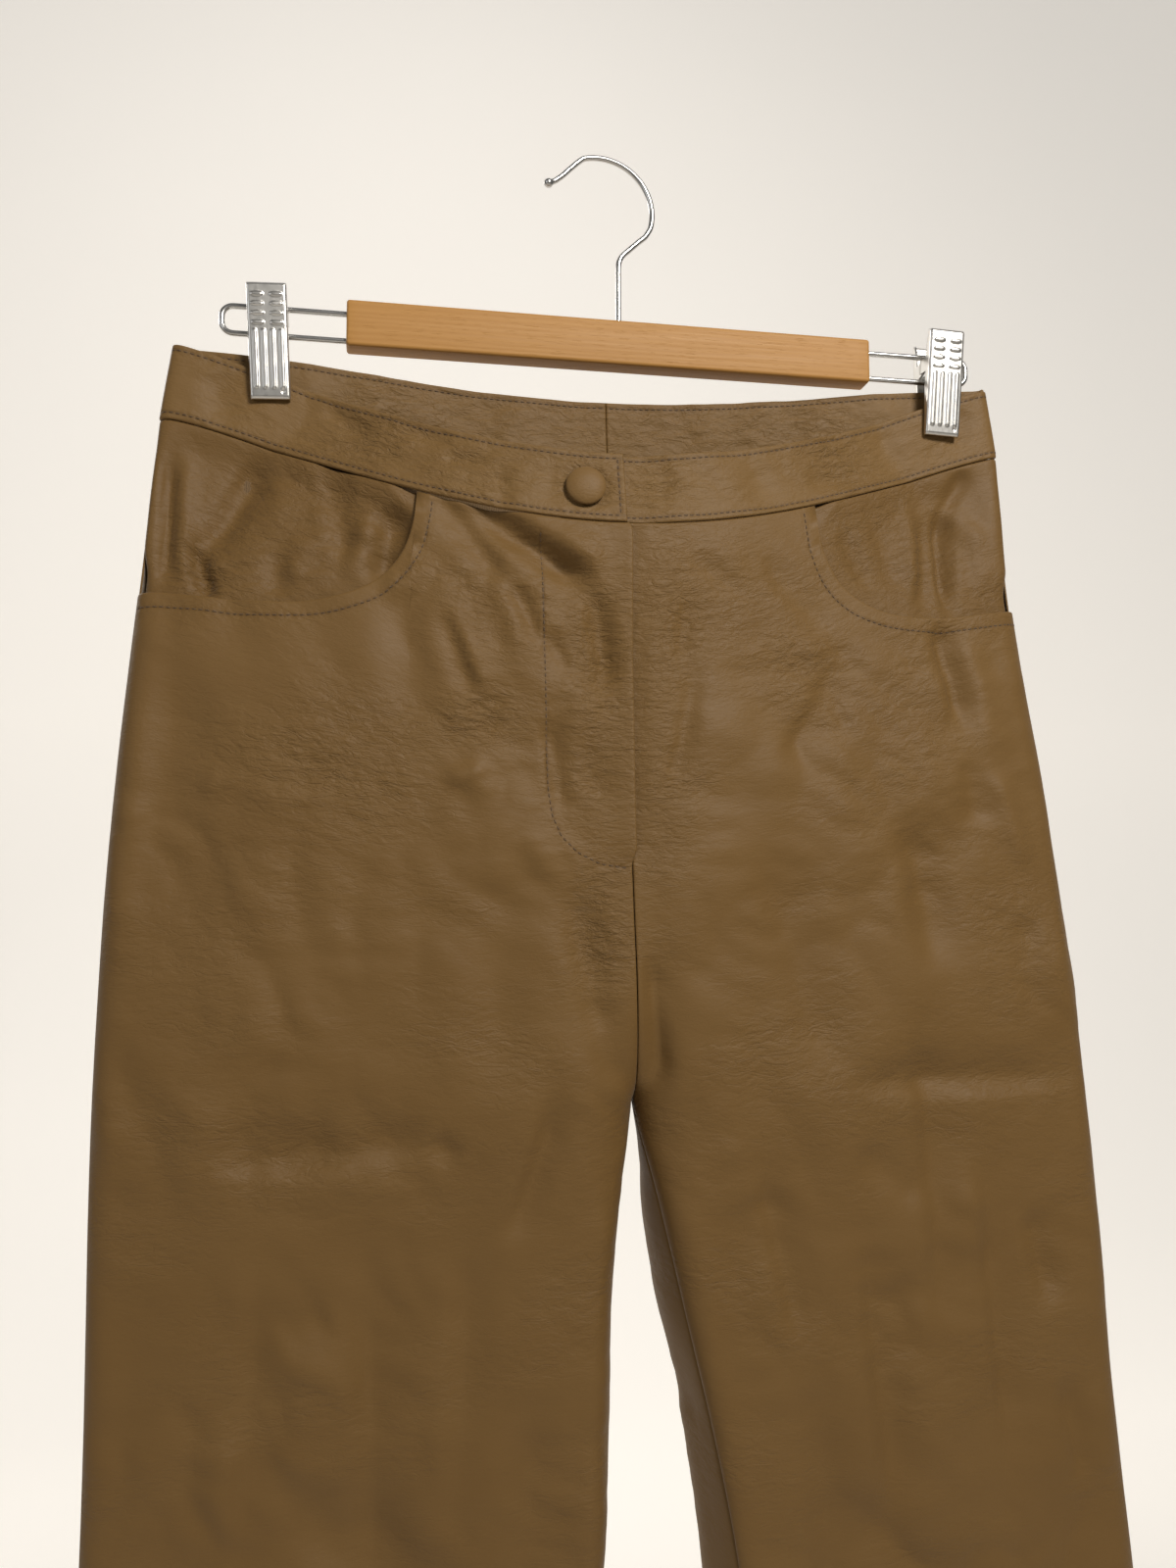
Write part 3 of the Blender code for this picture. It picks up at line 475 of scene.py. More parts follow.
def coil(name, place, radius, wire_radius, half, turns, sides=8, steps=28):
    """A close-wound torsion spring about the pin."""
    points, faces = [], []
    total = turns * steps
    for step in range(total + 1):
        turn = 2 * math.pi * step / steps
        along = -half + wire_radius + (2 * half - 2 * wire_radius) * step / total
        middle = np.array((radius * math.cos(turn), radius * math.sin(turn), along))
        spoke = np.array((math.cos(turn), math.sin(turn), 0.0))
        for k in range(sides):
            spin = 2 * math.pi * k / sides
            points.append(middle + spoke * wire_radius * math.cos(spin)
                          + np.array((0, 0, wire_radius * math.sin(spin))))
    for step in range(total):
        for k in range(sides):
            there = (k + 1) % sides
            faces.append((step * sides + k, (step + 1) * sides + k,
                          (step + 1) * sides + there, step * sides + there))
    faces.append(tuple(range(sides)))
    faces.append(tuple(range(total * sides + sides - 1, total * sides - 1, -1)))
    mesh = bpy.data.meshes.new(name)
    mesh.from_pydata((np.array(points) * MM).tolist(), [], faces)
    piece = made(name + "_made", mesh, CHROME)
    piece.matrix_world = place
    return piece


for side, label in ((RIGHT, "right"), (LEFT, "left")):
    top_x, bottom_x, top_z = CLIPS[side]
    jaw("clip_" + label + "_front", side, FRONT, 18.0, 66, 118)
    jaw("clip_" + label + "_back", side, BACK, 15.4, 14, 40)
    pivot_x = top_x + (bottom_x - top_x) * (top_z - CLIP_PIVOT) / CLIP_LENGTH
    spin = Matrix.Translation(Vector((pivot_x, 0, CLIP_PIVOT)) * MM) @ Matrix.Rotation(
        math.pi / 2, 4, "Y")
    pin = turned_mesh("clip_" + label + "_pin", (
        (0, -PIN_HALF), (1.2, -PIN_HALF), (1.5, -PIN_HALF + 0.3), (1.5, PIN_HALF - 0.3),
        (1.2, PIN_HALF), (0, PIN_HALF)), 24, CHROME)
    pin.matrix_world = spin
    spring = coil("clip_" + label + "_spring", spin, **SPRING)
    stands_for(pin, "clip_" + label + "_pin")
    stands_for(spring, "clip_" + label + "_spring")

# --- Fronts ---------------------------------------------------------------------------------------
# Two fronts cut whole from waist to hem, joined at the centre seam below the fly.  The right one laps
# 2 mm over the left down the fly.  Both are scooped for the pockets, topstitched 7 mm from the mouth.

# How the cloth hangs: held by the clips, the waist sags in the middle of the front.
CLOTH_WALL = 1.2
SEAM_GAP = 0.3
SEAM_HEIGHT = -140.2
HANG_TILT = 0.018
BAND_HEIGHT = 36.0
CROTCH = 310.0
HEM = 990.0
SAG = {"front": 51.0, "front_top": 54.0, "back": 12.0, "reach": 206.0, "power": 1.3, "fade": 300.0}
HOLLOW = 75.0
HOLLOW_ROUND = 32.0
LEG_ROUND = 12.0
SIDE_ROUND = {"band": 4.0, "leg": 11.0}
ROUND_GROWS = 60.0

# The outline seen from the front: where the centre, the inseams and the side seams lie at each level
# below the waist seam.
OUTLINE = {
    "below":   (-36, 0, 30, 60, 110, 160, 220, 270, 310, 350, 400, 450, 500, 550, 650, 800, 990),
    "side_r":  (-203, -208, -211, -213, -217, -221, -224.5, -226, -226.7, -226.8, -226.2, -225.8,
                -226, -226.5, -225, -222, -222),
    "centre":  (0, 1, 1, 1, 1.5, 2, 3.5, 5.5, 7.5, 7.5, 7.5, 7.5, 7.5, 7.5, 7.5, 7.5, 7.5),
    "inner_r": (0, 1, 1, 1, 1.5, 2, 3.5, 5.5, 7.5, 2.5, -2, -3, -5, -7, -12, -14, -13),
    "inner_l": (0, 1, 1, 1, 1.5, 2, 3.5, 5.5, 7.5, 16.5, 28, 40, 50, 57, 66, 72, 74),
    "side_l":  (194, 199, 201, 202, 207, 215, 223, 229, 232.5, 236, 239.5, 242, 246.5, 251, 256,
                258, 260),
}
# How far front or back of the hanger's plane each layer lies at each level, at its edges and middle.
DEPTH = {
    "below":   (-36, -20, 0, 60, 110, 220, 310, 350, 450, 990),
    "fold":    (0, 0, 0, -2, -4, -5, -6, -6, -6, -6),
    "front_edge": (-2.8, -2.8, -3.2, -9, -13, -15, -15, -15, -14, -14),
    "front_r": (-32, -34, -36.5, -36.5, -37, -37, -35, -30, -27, -27),
    "front_l": (-32, -34, -36.5, -36.5, -37, -37, -35, -31, -28, -28),
    "seam_r":  (-8, -8, -8, -8, -8, -8, -8, -8, -8, -8),
    "seam_l":  (-8, -8, -8, -8, -8, -8, -8, -17, -20, -20),
    "back_edge": (2.8, 2.8, 3, 5, 6, 8, 8, 6, 5, 5),
    "back_r":  (13.5, 14, 14.5, 15, 16, 17, 17, 13, 9, 9),
    "back_l":  (13.5, 14, 14.5, 15, 16, 17, 18, 19, 20, 20),
    "bulge_r": (0, 0, 0, 0, 0, 0, 0, 2, 3, 3),
    "bulge_l": (0, 0, 0, 0, 0, 0, 0, 6, 12, 12),
    "pinch":   (0.3, 0.3, 0.24, 0.08, 0, 0, 0, 0, 0, 0),
}
FORM_ACROSS = np.linspace(0, 1, 161)
FORM_STEP = 2.0
FORM_BELOW = np.arange(-BAND_HEIGHT, HEM + 1, FORM_STEP)


def at_level(table, column, below):
    """Reads a table between its rows on a smooth curve."""
    levels = np.array(table["below"], float)
    values = np.array(table[column], float)
    slopes = np.gradient(values, levels)
    row = np.clip(np.searchsorted(levels, below, side="right") - 1, 0, len(levels) - 2)
    span = levels[row + 1] - levels[row]
    t = np.clip((below - levels[row]) / span, 0, 1)
    start = (1 + 2 * t) * (1 - t) ** 2 * values[row] + t * (1 - t) ** 2 * span * slopes[row]
    end = t * t * (3 - 2 * t) * values[row + 1] + t * t * (t - 1) * span * slopes[row + 1]
    return start + end


def height(x, below, face, centre):
    """Height of a point: levels sag at the middle of the waist and run straight lower down."""
    reach = np.clip(np.abs(x - centre) / SAG["reach"], 0, 1)
    droop = SAG["back"]
    if face == FRONT:
        top = np.clip(-below / BAND_HEIGHT, 0, 1)
        droop = SAG["front"] + (SAG["front_top"] - SAG["front"]) * top
    sag = droop * np.cos(math.pi / 2 * reach) ** SAG["power"]
    sag = sag * (1 - smooth(np.maximum(below, 0) / SAG["fade"]))
    return SEAM_HEIGHT - below + HANG_TILT * x - sag


def section(side, face, below):
    """One layer of one half at one level, from the centre or inseam to the side seam."""
    tag = "r" if side == RIGHT else "l"
    layer = "front" if face == FRONT else "back"
    outer_x = at_level(OUTLINE, "side_" + tag, below)
    centre = at_level(OUTLINE, "centre", below)
    fold = at_level(DEPTH, "fold", below) + face * SEAM_GAP / 2
    seam = at_level(DEPTH, "seam_" + tag, below) + face * SEAM_GAP / 2
    edge_depth = at_level(DEPTH, layer + "_edge", below)
    depth = at_level(DEPTH, layer + "_" + tag, below)
    pinch = at_level(DEPTH, "pinch", below)
    bulge = at_level(DEPTH, "bulge_" + tag, below)
    grows = smooth(below / ROUND_GROWS)
    side_round = SIDE_ROUND["band"] + (SIDE_ROUND["leg"] - SIDE_ROUND["band"]) * grows
    if below <= CROTCH:
        grown = HOLLOW_ROUND * np.clip((CROTCH - below) / HOLLOW, 0, 1)
        inner_round = HOLLOW_ROUND
        inner_x = centre + side * (SEAM_GAP / 2 - grown)
        start_angle = math.acos(1 - grown / inner_round)
    else:
        legs_apart = smooth((below - CROTCH) / ROUND_GROWS)
        inner_round = HOLLOW_ROUND + (LEG_ROUND - HOLLOW_ROUND) * legs_apart
        inner_x = at_level(OUTLINE, "inner_" + tag, below) + side * CLOTH_WALL * 0.6
        start_angle = 0.0
    inner_turn = np.linspace(start_angle, math.pi / 2, 60)
    outer_turn = np.linspace(math.pi / 2, 0, 60)
    flat_from = inner_x + side * inner_round
    flat_to = outer_x - side * side_round
    inner_xs = inner_x + side * inner_round * (1 - np.cos(inner_turn))
    if face == BACK and below > CROTCH:
        inner_xs = inner_xs - side * bulge * np.sin(2 * inner_turn)
    flat_xs = np.linspace(flat_from, flat_to, 160)[1:-1]
    outer_xs = outer_x - side * side_round * (1 - np.cos(outer_turn))
    xs = np.concatenate((inner_xs, flat_xs, outer_xs))
    rise = np.concatenate((np.sin(inner_turn), np.ones(len(flat_xs)), np.sin(outer_turn)))
    base = np.concatenate((np.full(len(inner_xs), seam),
                           np.full(len(flat_xs) + len(outer_xs), fold)))
    share = np.clip((outer_x - xs) / (outer_x - centre), 0, 1)
    bow = np.sin(math.pi / 2 * np.clip((share - pinch) / (1 - pinch), 0, 1))
    plateau = edge_depth + (depth - edge_depth) * bow
    ys = base + (plateau - base) * rise
    zs = height(xs, below, face, centre)
    points = np.stack((xs, ys, zs), axis=1)
    steps = np.linalg.norm(np.diff(points[:, :2], axis=0), axis=1)
    length = np.concatenate(((0,), np.cumsum(steps)))
    even = [np.interp(FORM_ACROSS, length / length[-1], points[:, k]) for k in range(3)]
    return np.stack(even, axis=1), length[-1]


FORM, WIDTH = {}, {}
for side in (RIGHT, LEFT):
    for face in (FRONT, BACK):
        rows = [section(side, face, below) for below in FORM_BELOW]
        FORM[side, face] = np.array([points for points, width in rows])
        WIDTH[side, face] = np.array([width for points, width in rows])


def spread(t):
    """Weights of the four rows around a place, for a smooth curve through them."""
    return ((-t + 2 * t ** 2 - t ** 3) / 2, (2 - 5 * t ** 2 + 3 * t ** 3) / 2,
            (t + 4 * t ** 2 - 3 * t ** 3) / 2, (-t ** 2 + t ** 3) / 2)


def on_form(side, face, across, below):
    """Points of the bare form at shares across the panel and levels below the waist seam."""
    grid = FORM[side, face]
    down = np.clip((below - FORM_BELOW[0]) / FORM_STEP, 0, len(grid) - 1.001)
    along = np.clip(across * (len(FORM_ACROSS) - 1), 0, len(FORM_ACROSS) - 1.001)
    row, column = down.astype(int), along.astype(int)
    total = np.zeros(np.shape(across) + (3,))
    for i, row_weight in enumerate(spread(down - row)):
        rows = np.clip(row + i - 1, 0, len(grid) - 1)
        for j, column_weight in enumerate(spread(along - column)):
            columns = np.clip(column + j - 1, 0, len(FORM_ACROSS) - 1)
            total += (row_weight * column_weight)[..., None] * grid[rows, columns]
    return total


def out_of_form(side, face, across, below):
    """Outward directions; on the seams they are squared up so that neighbours meet evenly."""
    left, right = np.maximum(across - 0.01, 0), np.minimum(across + 0.01, 1)
    above, under = np.maximum(below - 3, -BAND_HEIGHT), np.minimum(below + 3, HEM)
    along = on_form(side, face, right, below) - on_form(side, face, left, below)
    down = on_form(side, face, across, under) - on_form(side, face, across, above)
    direction = np.cross(along, down) * side * face
    direction /= np.linalg.norm(direction, axis=-1, keepdims=True)
    at_side = smooth((across - 0.99) / 0.01)[..., None]
    direction = direction * (1 - at_side) + np.array((side, 0.0, 0.0)) * at_side
    at_inseam = (smooth((0.01 - across) / 0.01) * smooth((below - CROTCH) / 8))[..., None]
    direction = direction * (1 - at_inseam) - np.array((side, 0.0, 0.0)) * at_inseam
    return direction / np.linalg.norm(direction, axis=-1, keepdims=True)


def place_of(side, face, x, z):
    """Share across and level below the waist of the point seen at x, z."""
    low, high = -BAND_HEIGHT, HEM
    for _ in range(40):
        below = (low + high) / 2
        centre = at_level(OUTLINE, "centre", below)
        if height(x, below, face, centre) > z:
            low = below
        else:
            high = below
    row = int(np.clip((below - FORM_BELOW[0]) / FORM_STEP, 0, len(FORM_BELOW) - 1))
    xs = FORM[side, face][row, :, 0] * side
    turn = int(np.argmin(xs))
    return float(np.interp(x * side, xs[turn:], FORM_ACROSS[turn:])), below


# Slack cloth falls into long troughs and ridges.  Each is a row in a table: a line through three
# points (x, z), its width on the lower or left side and on the other, and its depth.
FOLD_STRENGTH = 1.45


def press_folds(folds, x, z):
    """How far the rows of a table of folds press the cloth in at x, z."""
    total = np.zeros(np.shape(x))
    for x1, z1, x2, z2, x3, z3, near, far, depth in folds:
        best = np.full(np.shape(x), 1e9)
        side_of = np.ones(np.shape(x))
        share_at = np.zeros(np.shape(x))
        shares = np.linspace(0, 1, 13)
        xs = (1 - shares) ** 2 * x1 + 2 * shares * (1 - shares) * x2 + shares ** 2 * x3
        zs = (1 - shares) ** 2 * z1 + 2 * shares * (1 - shares) * z2 + shares ** 2 * z3
        for k in range(len(shares) - 1):
            dx, dz = xs[k + 1] - xs[k], zs[k + 1] - zs[k]
            t = np.clip(((x - xs[k]) * dx + (z - zs[k]) * dz) / (dx * dx + dz * dz), 0, 1)
            off_x, off_z = x - xs[k] - t * dx, z - zs[k] - t * dz
            away = np.hypot(off_x, off_z)
            closer = away < best
            best = np.where(closer, away, best)
            side_of = np.where(closer, np.sign(dx * off_z - dz * off_x), side_of)
            share_at = np.where(closer, shares[k] + t / (len(shares) - 1), share_at)
        width = np.where(side_of > 0, far, near)
        taper = smooth(share_at / 0.3) * smooth((1 - share_at) / 0.3)
        total += depth * taper * np.exp(-((best / width) ** 2))
    return total * FOLD_STRENGTH


def crumple(spots, x, z):
    """How much fine wrinkling the cloth has at x, z, from 0 to 1."""
    total = np.zeros(np.shape(x))
    for spot_x, spot_z, reach_x, reach_z, strength in spots:
        away = ((x - spot_x) / reach_x) ** 2 + ((z - spot_z) / reach_z) ** 2
        total = np.maximum(total, strength * np.exp(-away))
    return total


def ripple(points, scale, seed):
    """Smooth unevenness from -1 to 1 over a grid of points; scale is the size of a bump on x, z."""
    flat = points.reshape(-1, 3)
    values = [noise.noise(Vector((p[0] / scale[0], seed, p[2] / scale[1]))) for p in flat]
    return np.array(values).reshape(points.shape[:-1])


# The cloth's face: an even matt tan with a fine pressed grain, a soft sheen on the ridges and small
# creases where it has been folded.  Its back is brushed jersey.
def leather_grain():
    """Pressed grain, creases and seam puckers of the coated cloth, in millimetres of height."""
    tree, given, out = new_group(
        "leather_grain",
        (("Colour", "NodeSocketColor", (0.2, 0.11, 0.045, 1)),
         ("Worn colour", "NodeSocketColor", (0.25, 0.15, 0.07, 1)),
         ("Grain", "NodeSocketFloat", 0.05), ("Creases", "NodeSocketFloat", 0.3)),
        (("Colour", "NodeSocketColor"), ("Roughness", "NodeSocketFloat"),
         ("Height", "NodeSocketFloat")))
    uv = add_node(tree, "ShaderNodeUVMap", uv_map="cloth").outputs["UV"]
    crumpled = add_node(tree, "ShaderNodeAttribute", attribute_name="crumple").outputs["Fac"]
    stitch = add_node(tree, "ShaderNodeAttribute", attribute_name="stitch").outputs["Fac"]
    # The pressed grain: short ripples across the cloth with pebbles between them.
    pebbles = add_node(tree, "ShaderNodeTexVoronoi", feature="SMOOTH_F1")
    pebbles.inputs["Scale"].default_value = 0.95
    pebbles.inputs["Smoothness"].default_value = 0.6
    tree.links.new(stretched(tree, uv, (0.8, 1.25, 1), 14), pebbles.inputs["Vector"])
    strands = noise_at(tree, stretched(tree, uv, (0.42, 0.95, 1), -20), 1.0, 2.5, 0.8)
    grain = maths(tree, "ADD", maths(tree, "MULTIPLY", pebbles.outputs["Distance"], 0.8), strands)
    grain = maths(tree, "MULTIPLY", grain, given.outputs["Grain"])
    stronger = maths(tree, "MULTIPLY_ADD", crumpled, 1.8, 0.75)
    grain = maths(tree, "MULTIPLY", grain, stronger)
    # Small creases: ridged noise that shows only where the cloth is crumpled.
    creases = None
    for scale, turn, share in (((0.10, 0.27, 1), 8, 1.0), ((0.22, 0.45, 1), -18, 0.45)):
        wave = noise_at(tree, stretched(tree, uv, scale, turn), 1.0, 3.0, 0.9)
        ridge = maths(tree, "ABSOLUTE", maths(tree, "SUBTRACT", wave, 0.5))
        ridge = maths(tree, "SMOOTH_MIN", maths(tree, "MULTIPLY", ridge, 7.0), 0.75, 0.5)
        ridge = maths(tree, "MULTIPLY", ridge, share)
        creases = ridge if creases is None else maths(tree, "ADD", creases, ridge)
    warp = add_node(tree, "ShaderNodeTexNoise")
    warp.inputs["Scale"].default_value = 0.11
    tree.links.new(uv, warp.inputs["Vector"])
    warped = add_node(tree, "ShaderNodeVectorMath", operation="MULTIPLY_ADD")
    warped.inputs[1].default_value = (9, 9, 0)
    tree.links.new(warp.outputs["Color"], warped.inputs[0])
    tree.links.new(uv, warped.inputs[2])
    cells = add_node(tree, "ShaderNodeTexVoronoi", feature="SMOOTH_F1")
    cells.inputs["Scale"].default_value = 1.0
    cells.inputs["Smoothness"].default_value = 0.35
    tree.links.new(stretched(tree, warped.outputs[0], (0.13, 0.26, 1), -16), cells.inputs["Vector"])
    creases = maths(tree, "SUBTRACT", creases, maths(tree, "MULTIPLY", cells.outputs["Distance"], 2.2))
    patches = noise_at(tree, stretched(tree, uv, (0.012, 0.02, 1)), 1.0, 2.0)
    everywhere = maths(tree, "MULTIPLY", maths(tree, "SUBTRACT", patches, 0.40), 1.8)
    everywhere = maths(tree, "MAXIMUM", everywhere, 0.10)
    amount = maths(tree, "MULTIPLY", maths(tree, "ADD", crumpled, everywhere), given.outputs["Creases"])
    creases = maths(tree, "MULTIPLY", creases, amount)
    # Stitch rows draw the cloth in and pucker it on both sides.
    near = maths(tree, "EXPONENT", maths(tree, "MULTIPLY", maths(tree, "POWER", maths(
        tree, "ABSOLUTE", stitch), 2.0), -1.3))
    around = maths(tree, "EXPONENT", maths(tree, "MULTIPLY", maths(tree, "ABSOLUTE", stitch), -0.33))
    puckers = noise_at(tree, stretched(tree, uv, (0.3, 0.3, 1)), 1.0, 1.0)
    puckers = maths(tree, "MULTIPLY", maths(tree, "SUBTRACT", puckers, 0.5), 0.7)
    seam = maths(tree, "SUBTRACT", maths(tree, "MULTIPLY", puckers, around),
                 maths(tree, "MULTIPLY", near, 0.16))
    total = maths(tree, "ADD", maths(tree, "ADD", grain, creases), seam)
    tree.links.new(total, out.inputs["Height"])
    # Colour: cloudy unevenness between the colour and the worn colour, and painted shade: the cloth is
    # darkened towards the stitch lines, down in the dip the thread draws.
    cloud = noise_at(tree, stretched(tree, uv, (0.02, 0.03, 1)), 1.0, 3.0)
    shade = maths(tree, "MULTIPLY", maths(tree, "SUBTRACT", cloud, 0.35), 0.9)
    colour = mixed(tree, shade, given.outputs["Colour"], given.outputs["Worn colour"])
    # Painted shade along the stitch rows: a near-black brown is mixed in where the cloth dips at the thread.
    deep = maths(tree, "MULTIPLY", near, 0.35)
    colour = mixed(tree, deep, colour, (0.062, 0.030, 0.008, 1))
    tree.links.new(colour, out.inputs["Colour"])
    rough = maths(tree, "MULTIPLY_ADD", cloud, 0.14, 0.47)
    rough = maths(tree, "MULTIPLY_ADD", strands, 0.10, rough)
    tree.links.new(rough, out.inputs["Roughness"])
    return tree


GRAIN = leather_grain()


def leather(name, colour, worn, grain=0.05, creases=0.3, sheen=0.06):
    """A coated cloth finish: the shared grain with this piece's own colours."""
    material, tree, shader = blank_finish(name)
    group = wear_group(tree, shader, GRAIN)
    group.inputs["Colour"].default_value = (*colour, 1)
    group.inputs["Worn colour"].default_value = (*worn, 1)
    group.inputs["Grain"].default_value = grain
    group.inputs["Creases"].default_value = creases
    shader.inputs["Specular IOR Level"].default_value = 0.32
    shader.inputs["Sheen Weight"].default_value = sheen
    shader.inputs["Sheen Roughness"].default_value = 0.4
    return material


def brushed_back(name, colour):
    """The cloth's reverse: short brushed jersey in rows of fine loops."""
    material, tree, shader = blank_finish(name)
    uv = add_node(tree, "ShaderNodeUVMap", uv_map="cloth").outputs["UV"]
    loops = add_node(tree, "ShaderNodeTexWave", wave_type="BANDS", bands_direction="X")
    loops.inputs["Scale"].default_value = 0.28
    loops.inputs["Distortion"].default_value = 2.5
    loops.inputs["Detail Scale"].default_value = 2.0
    tree.links.new(uv, loops.inputs["Vector"])
    fuzz = noise_at(tree, uv, 1.4, 4.0)
    tone = maths(tree, "MULTIPLY", maths(tree, "ADD", loops.outputs["Fac"], fuzz), 0.5)
    darker = tuple(c * 0.62 for c in colour)
    tree.links.new(mixed(tree, tone, (*darker, 1), (*colour, 1)), shader.inputs["Base Color"])
    bump = add_node(tree, "ShaderNodeBump")
    bump.inputs["Distance"].default_value = 0.25 * MM
    tree.links.new(tone, bump.inputs["Height"])
    tree.links.new(bump.outputs["Normal"], shader.inputs["Normal"])
    shader.inputs["Roughness"].default_value = 0.95
    shader.inputs["Sheen Weight"].default_value = 0.3
    return material


BODY_TAN = (0.158, 0.085, 0.0225)
BODY_WORN = (0.186, 0.104, 0.031)
LEATHER_BODY = leather("faux_leather_body", BODY_TAN, BODY_WORN, creases=0.36)
JERSEY = brushed_back("brushed_jersey_back", (0.19, 0.115, 0.05))

# Every cut edge is turned under, so a piece's face rolls away at its edges.
NEAR_EDGE = np.array((0.0, 0.35, 0.8, 1.4, 2.2, 3.3))


def spaced(length, count):
    """count places along a length: close together at both ends, even steps between."""
    middle = np.linspace(NEAR_EDGE[-1], length - NEAR_EDGE[-1], count - 2 * len(NEAR_EDGE) + 2)
    return np.concatenate((NEAR_EDGE, middle[1:-1], length - NEAR_EDGE[::-1]))


def flat_place(side, face, across, below):
    """A piece's own flat plane in millimetres: along the cloth and down it."""
    width = np.interp(below, FORM_BELOW, WIDTH[side, face])
    return np.stack((across * width, below), axis=-1)


def distance_to(line, places):
    """Distance from flat places to a line of flat points, and which side of it they are on."""
    best = np.full(places.shape[:-1], 1e9)
    signed = np.ones(places.shape[:-1])
    for start, end in zip(line[:-1], line[1:]):
        way = end - start
        off = places - start
        t = np.clip((off @ way) / max(way @ way, 1e-9), 0, 1)
        gap = off - t[..., None] * way
        away = np.hypot(gap[..., 0], gap[..., 1])
        closer = away < best
        best = np.where(closer, away, best)
        signed = np.where(closer, np.sign(way[0] * off[..., 1] - way[1] * off[..., 0]), signed)
    return best, signed


def roll(distance, radius, drop):
    """How far a turned edge falls away at a distance from it."""
    t = 1 - np.clip(distance / radius, 0, 1)
    return drop * (1 - np.sqrt(np.maximum(1 - t * t, 0)))


def creased(points, scale, turn, seed, sharp=0.05):
    """Soft domes with narrow valleys between them, lying at an angle to the vertical."""
    cos, sin = math.cos(math.radians(turn)), math.sin(math.radians(turn))
    turned_points = points.copy()
    turned_points[..., 0] = points[..., 0] * cos + points[..., 2] * sin
    turned_points[..., 2] = points[..., 2] * cos - points[..., 0] * sin
    wave = ripple(turned_points, scale, seed)
    return np.sqrt(wave * wave + sharp * sharp) - 0.25


# Rows: depth, how much deeper in the slackest patches, a bump's width and height, lean, seed.
SLACK_CREASES = ((2.2, 2.8, (36, 62), 22, 17), (0.8, 1.9, (28, 18), -30, 23))


def wander(points, seed, wrinkled, strength=1.0):
    """The slow and fine unevenness of slack cloth, in millimetres."""
    slow = 1.9 * ripple(points, (70, 120), seed) + 0.5 * ripple(points, (26, 40), seed + 7)
    patches = smooth(0.45 + 1.3 * ripple(points, (90, 80), seed + 3))
    for depth, deeper, size, lean, own_seed in SLACK_CREASES:
        slow = slow + (depth + deeper * patches) * creased(points, size, lean, seed + own_seed)
    fine = (0.6 * patches + 1.9 * wrinkled) * creased(points, (15, 7.5), 12, seed + 29, 0.03)
    return strength * slow + fine


def lay(side, face, across, below, wall, folds=(), spots=(), seed=0.0, fade_top=12.0, loose=1.0):
    """Places on the form: points, outward directions, how far they stand out, and wrinkling."""
    points = on_form(side, face, across, below)
    out = out_of_form(side, face, across, below)
    x, z = points[..., 0], points[..., 2]
    wrinkled = crumple(spots, x, z)
    width = np.interp(below, FORM_BELOW, WIDTH[side, face])
    from_seam = np.minimum(across, 1 - across) * width
    shift = -press_folds(folds, x, z) * smooth(from_seam / 9)
    settled = smooth(from_seam / 16) * smooth(np.abs(below) / fade_top)
    shift = shift + wander(points, seed, wrinkled, loose) * settled
    return points, out, shift + wall / 2, wrinkled


def hold_back(points, side, below, past=0.0):
    """Keeps one half on its own side of the centre seam, above where the legs part."""
    centre = at_level(OUTLINE, "centre", below)
    away = np.maximum(side * (points[..., 0] - centre), SEAM_GAP / 2 - past)
    held = points.copy()
    held[..., 0] = np.where(below <= CROTCH, centre + side * away, points[..., 0])
    return held


def nearest(lines, places):
    """Distance from flat places to the nearest of several stitch lines."""
    best = np.full(places.shape[:-1], NO_STITCH)
    for line in lines:
        best = np.minimum(best, distance_to(line, places)[0])
    return best


# Lockstitch in twisted polyester thread a shade darker than the cloth, about eight stitches to the
# inch.  Each stitch dips into the cloth at both ends; a row is one joined mesh.
STITCH_PITCH = 3.0
STITCH_SHAPE = ((-1.15, 0.10, -0.30), (-0.85, 0.24, -0.04), (-0.3, 0.29, 0.07), (0.3, 0.29, 0.07),
                (0.85, 0.24, -0.04), (1.15, 0.10, -0.30))


def thread(name, colour):
    material, tree, shader = blank_finish(name)
    where = add_node(tree, "ShaderNodeTexCoord").outputs["Object"]
    twist = add_node(tree, "ShaderNodeTexWave", wave_type="BANDS", bands_direction="DIAGONAL")
    twist.inputs["Scale"].default_value = 900.0
    tree.links.new(where, twist.inputs["Vector"])
    darker = tuple(c * 0.6 for c in colour)
    tree.links.new(mixed(tree, twist.outputs["Fac"], (*darker, 1), (*colour, 1)),
                   shader.inputs["Base Color"])
    shader.inputs["Roughness"].default_value = 0.6
    shader.inputs["Sheen Weight"].default_value = 0.2
    return material


THREAD = thread("tan_thread", (0.098, 0.051, 0.016))
THREAD_FLY = thread("tan_thread_fly", (0.118, 0.063, 0.020))


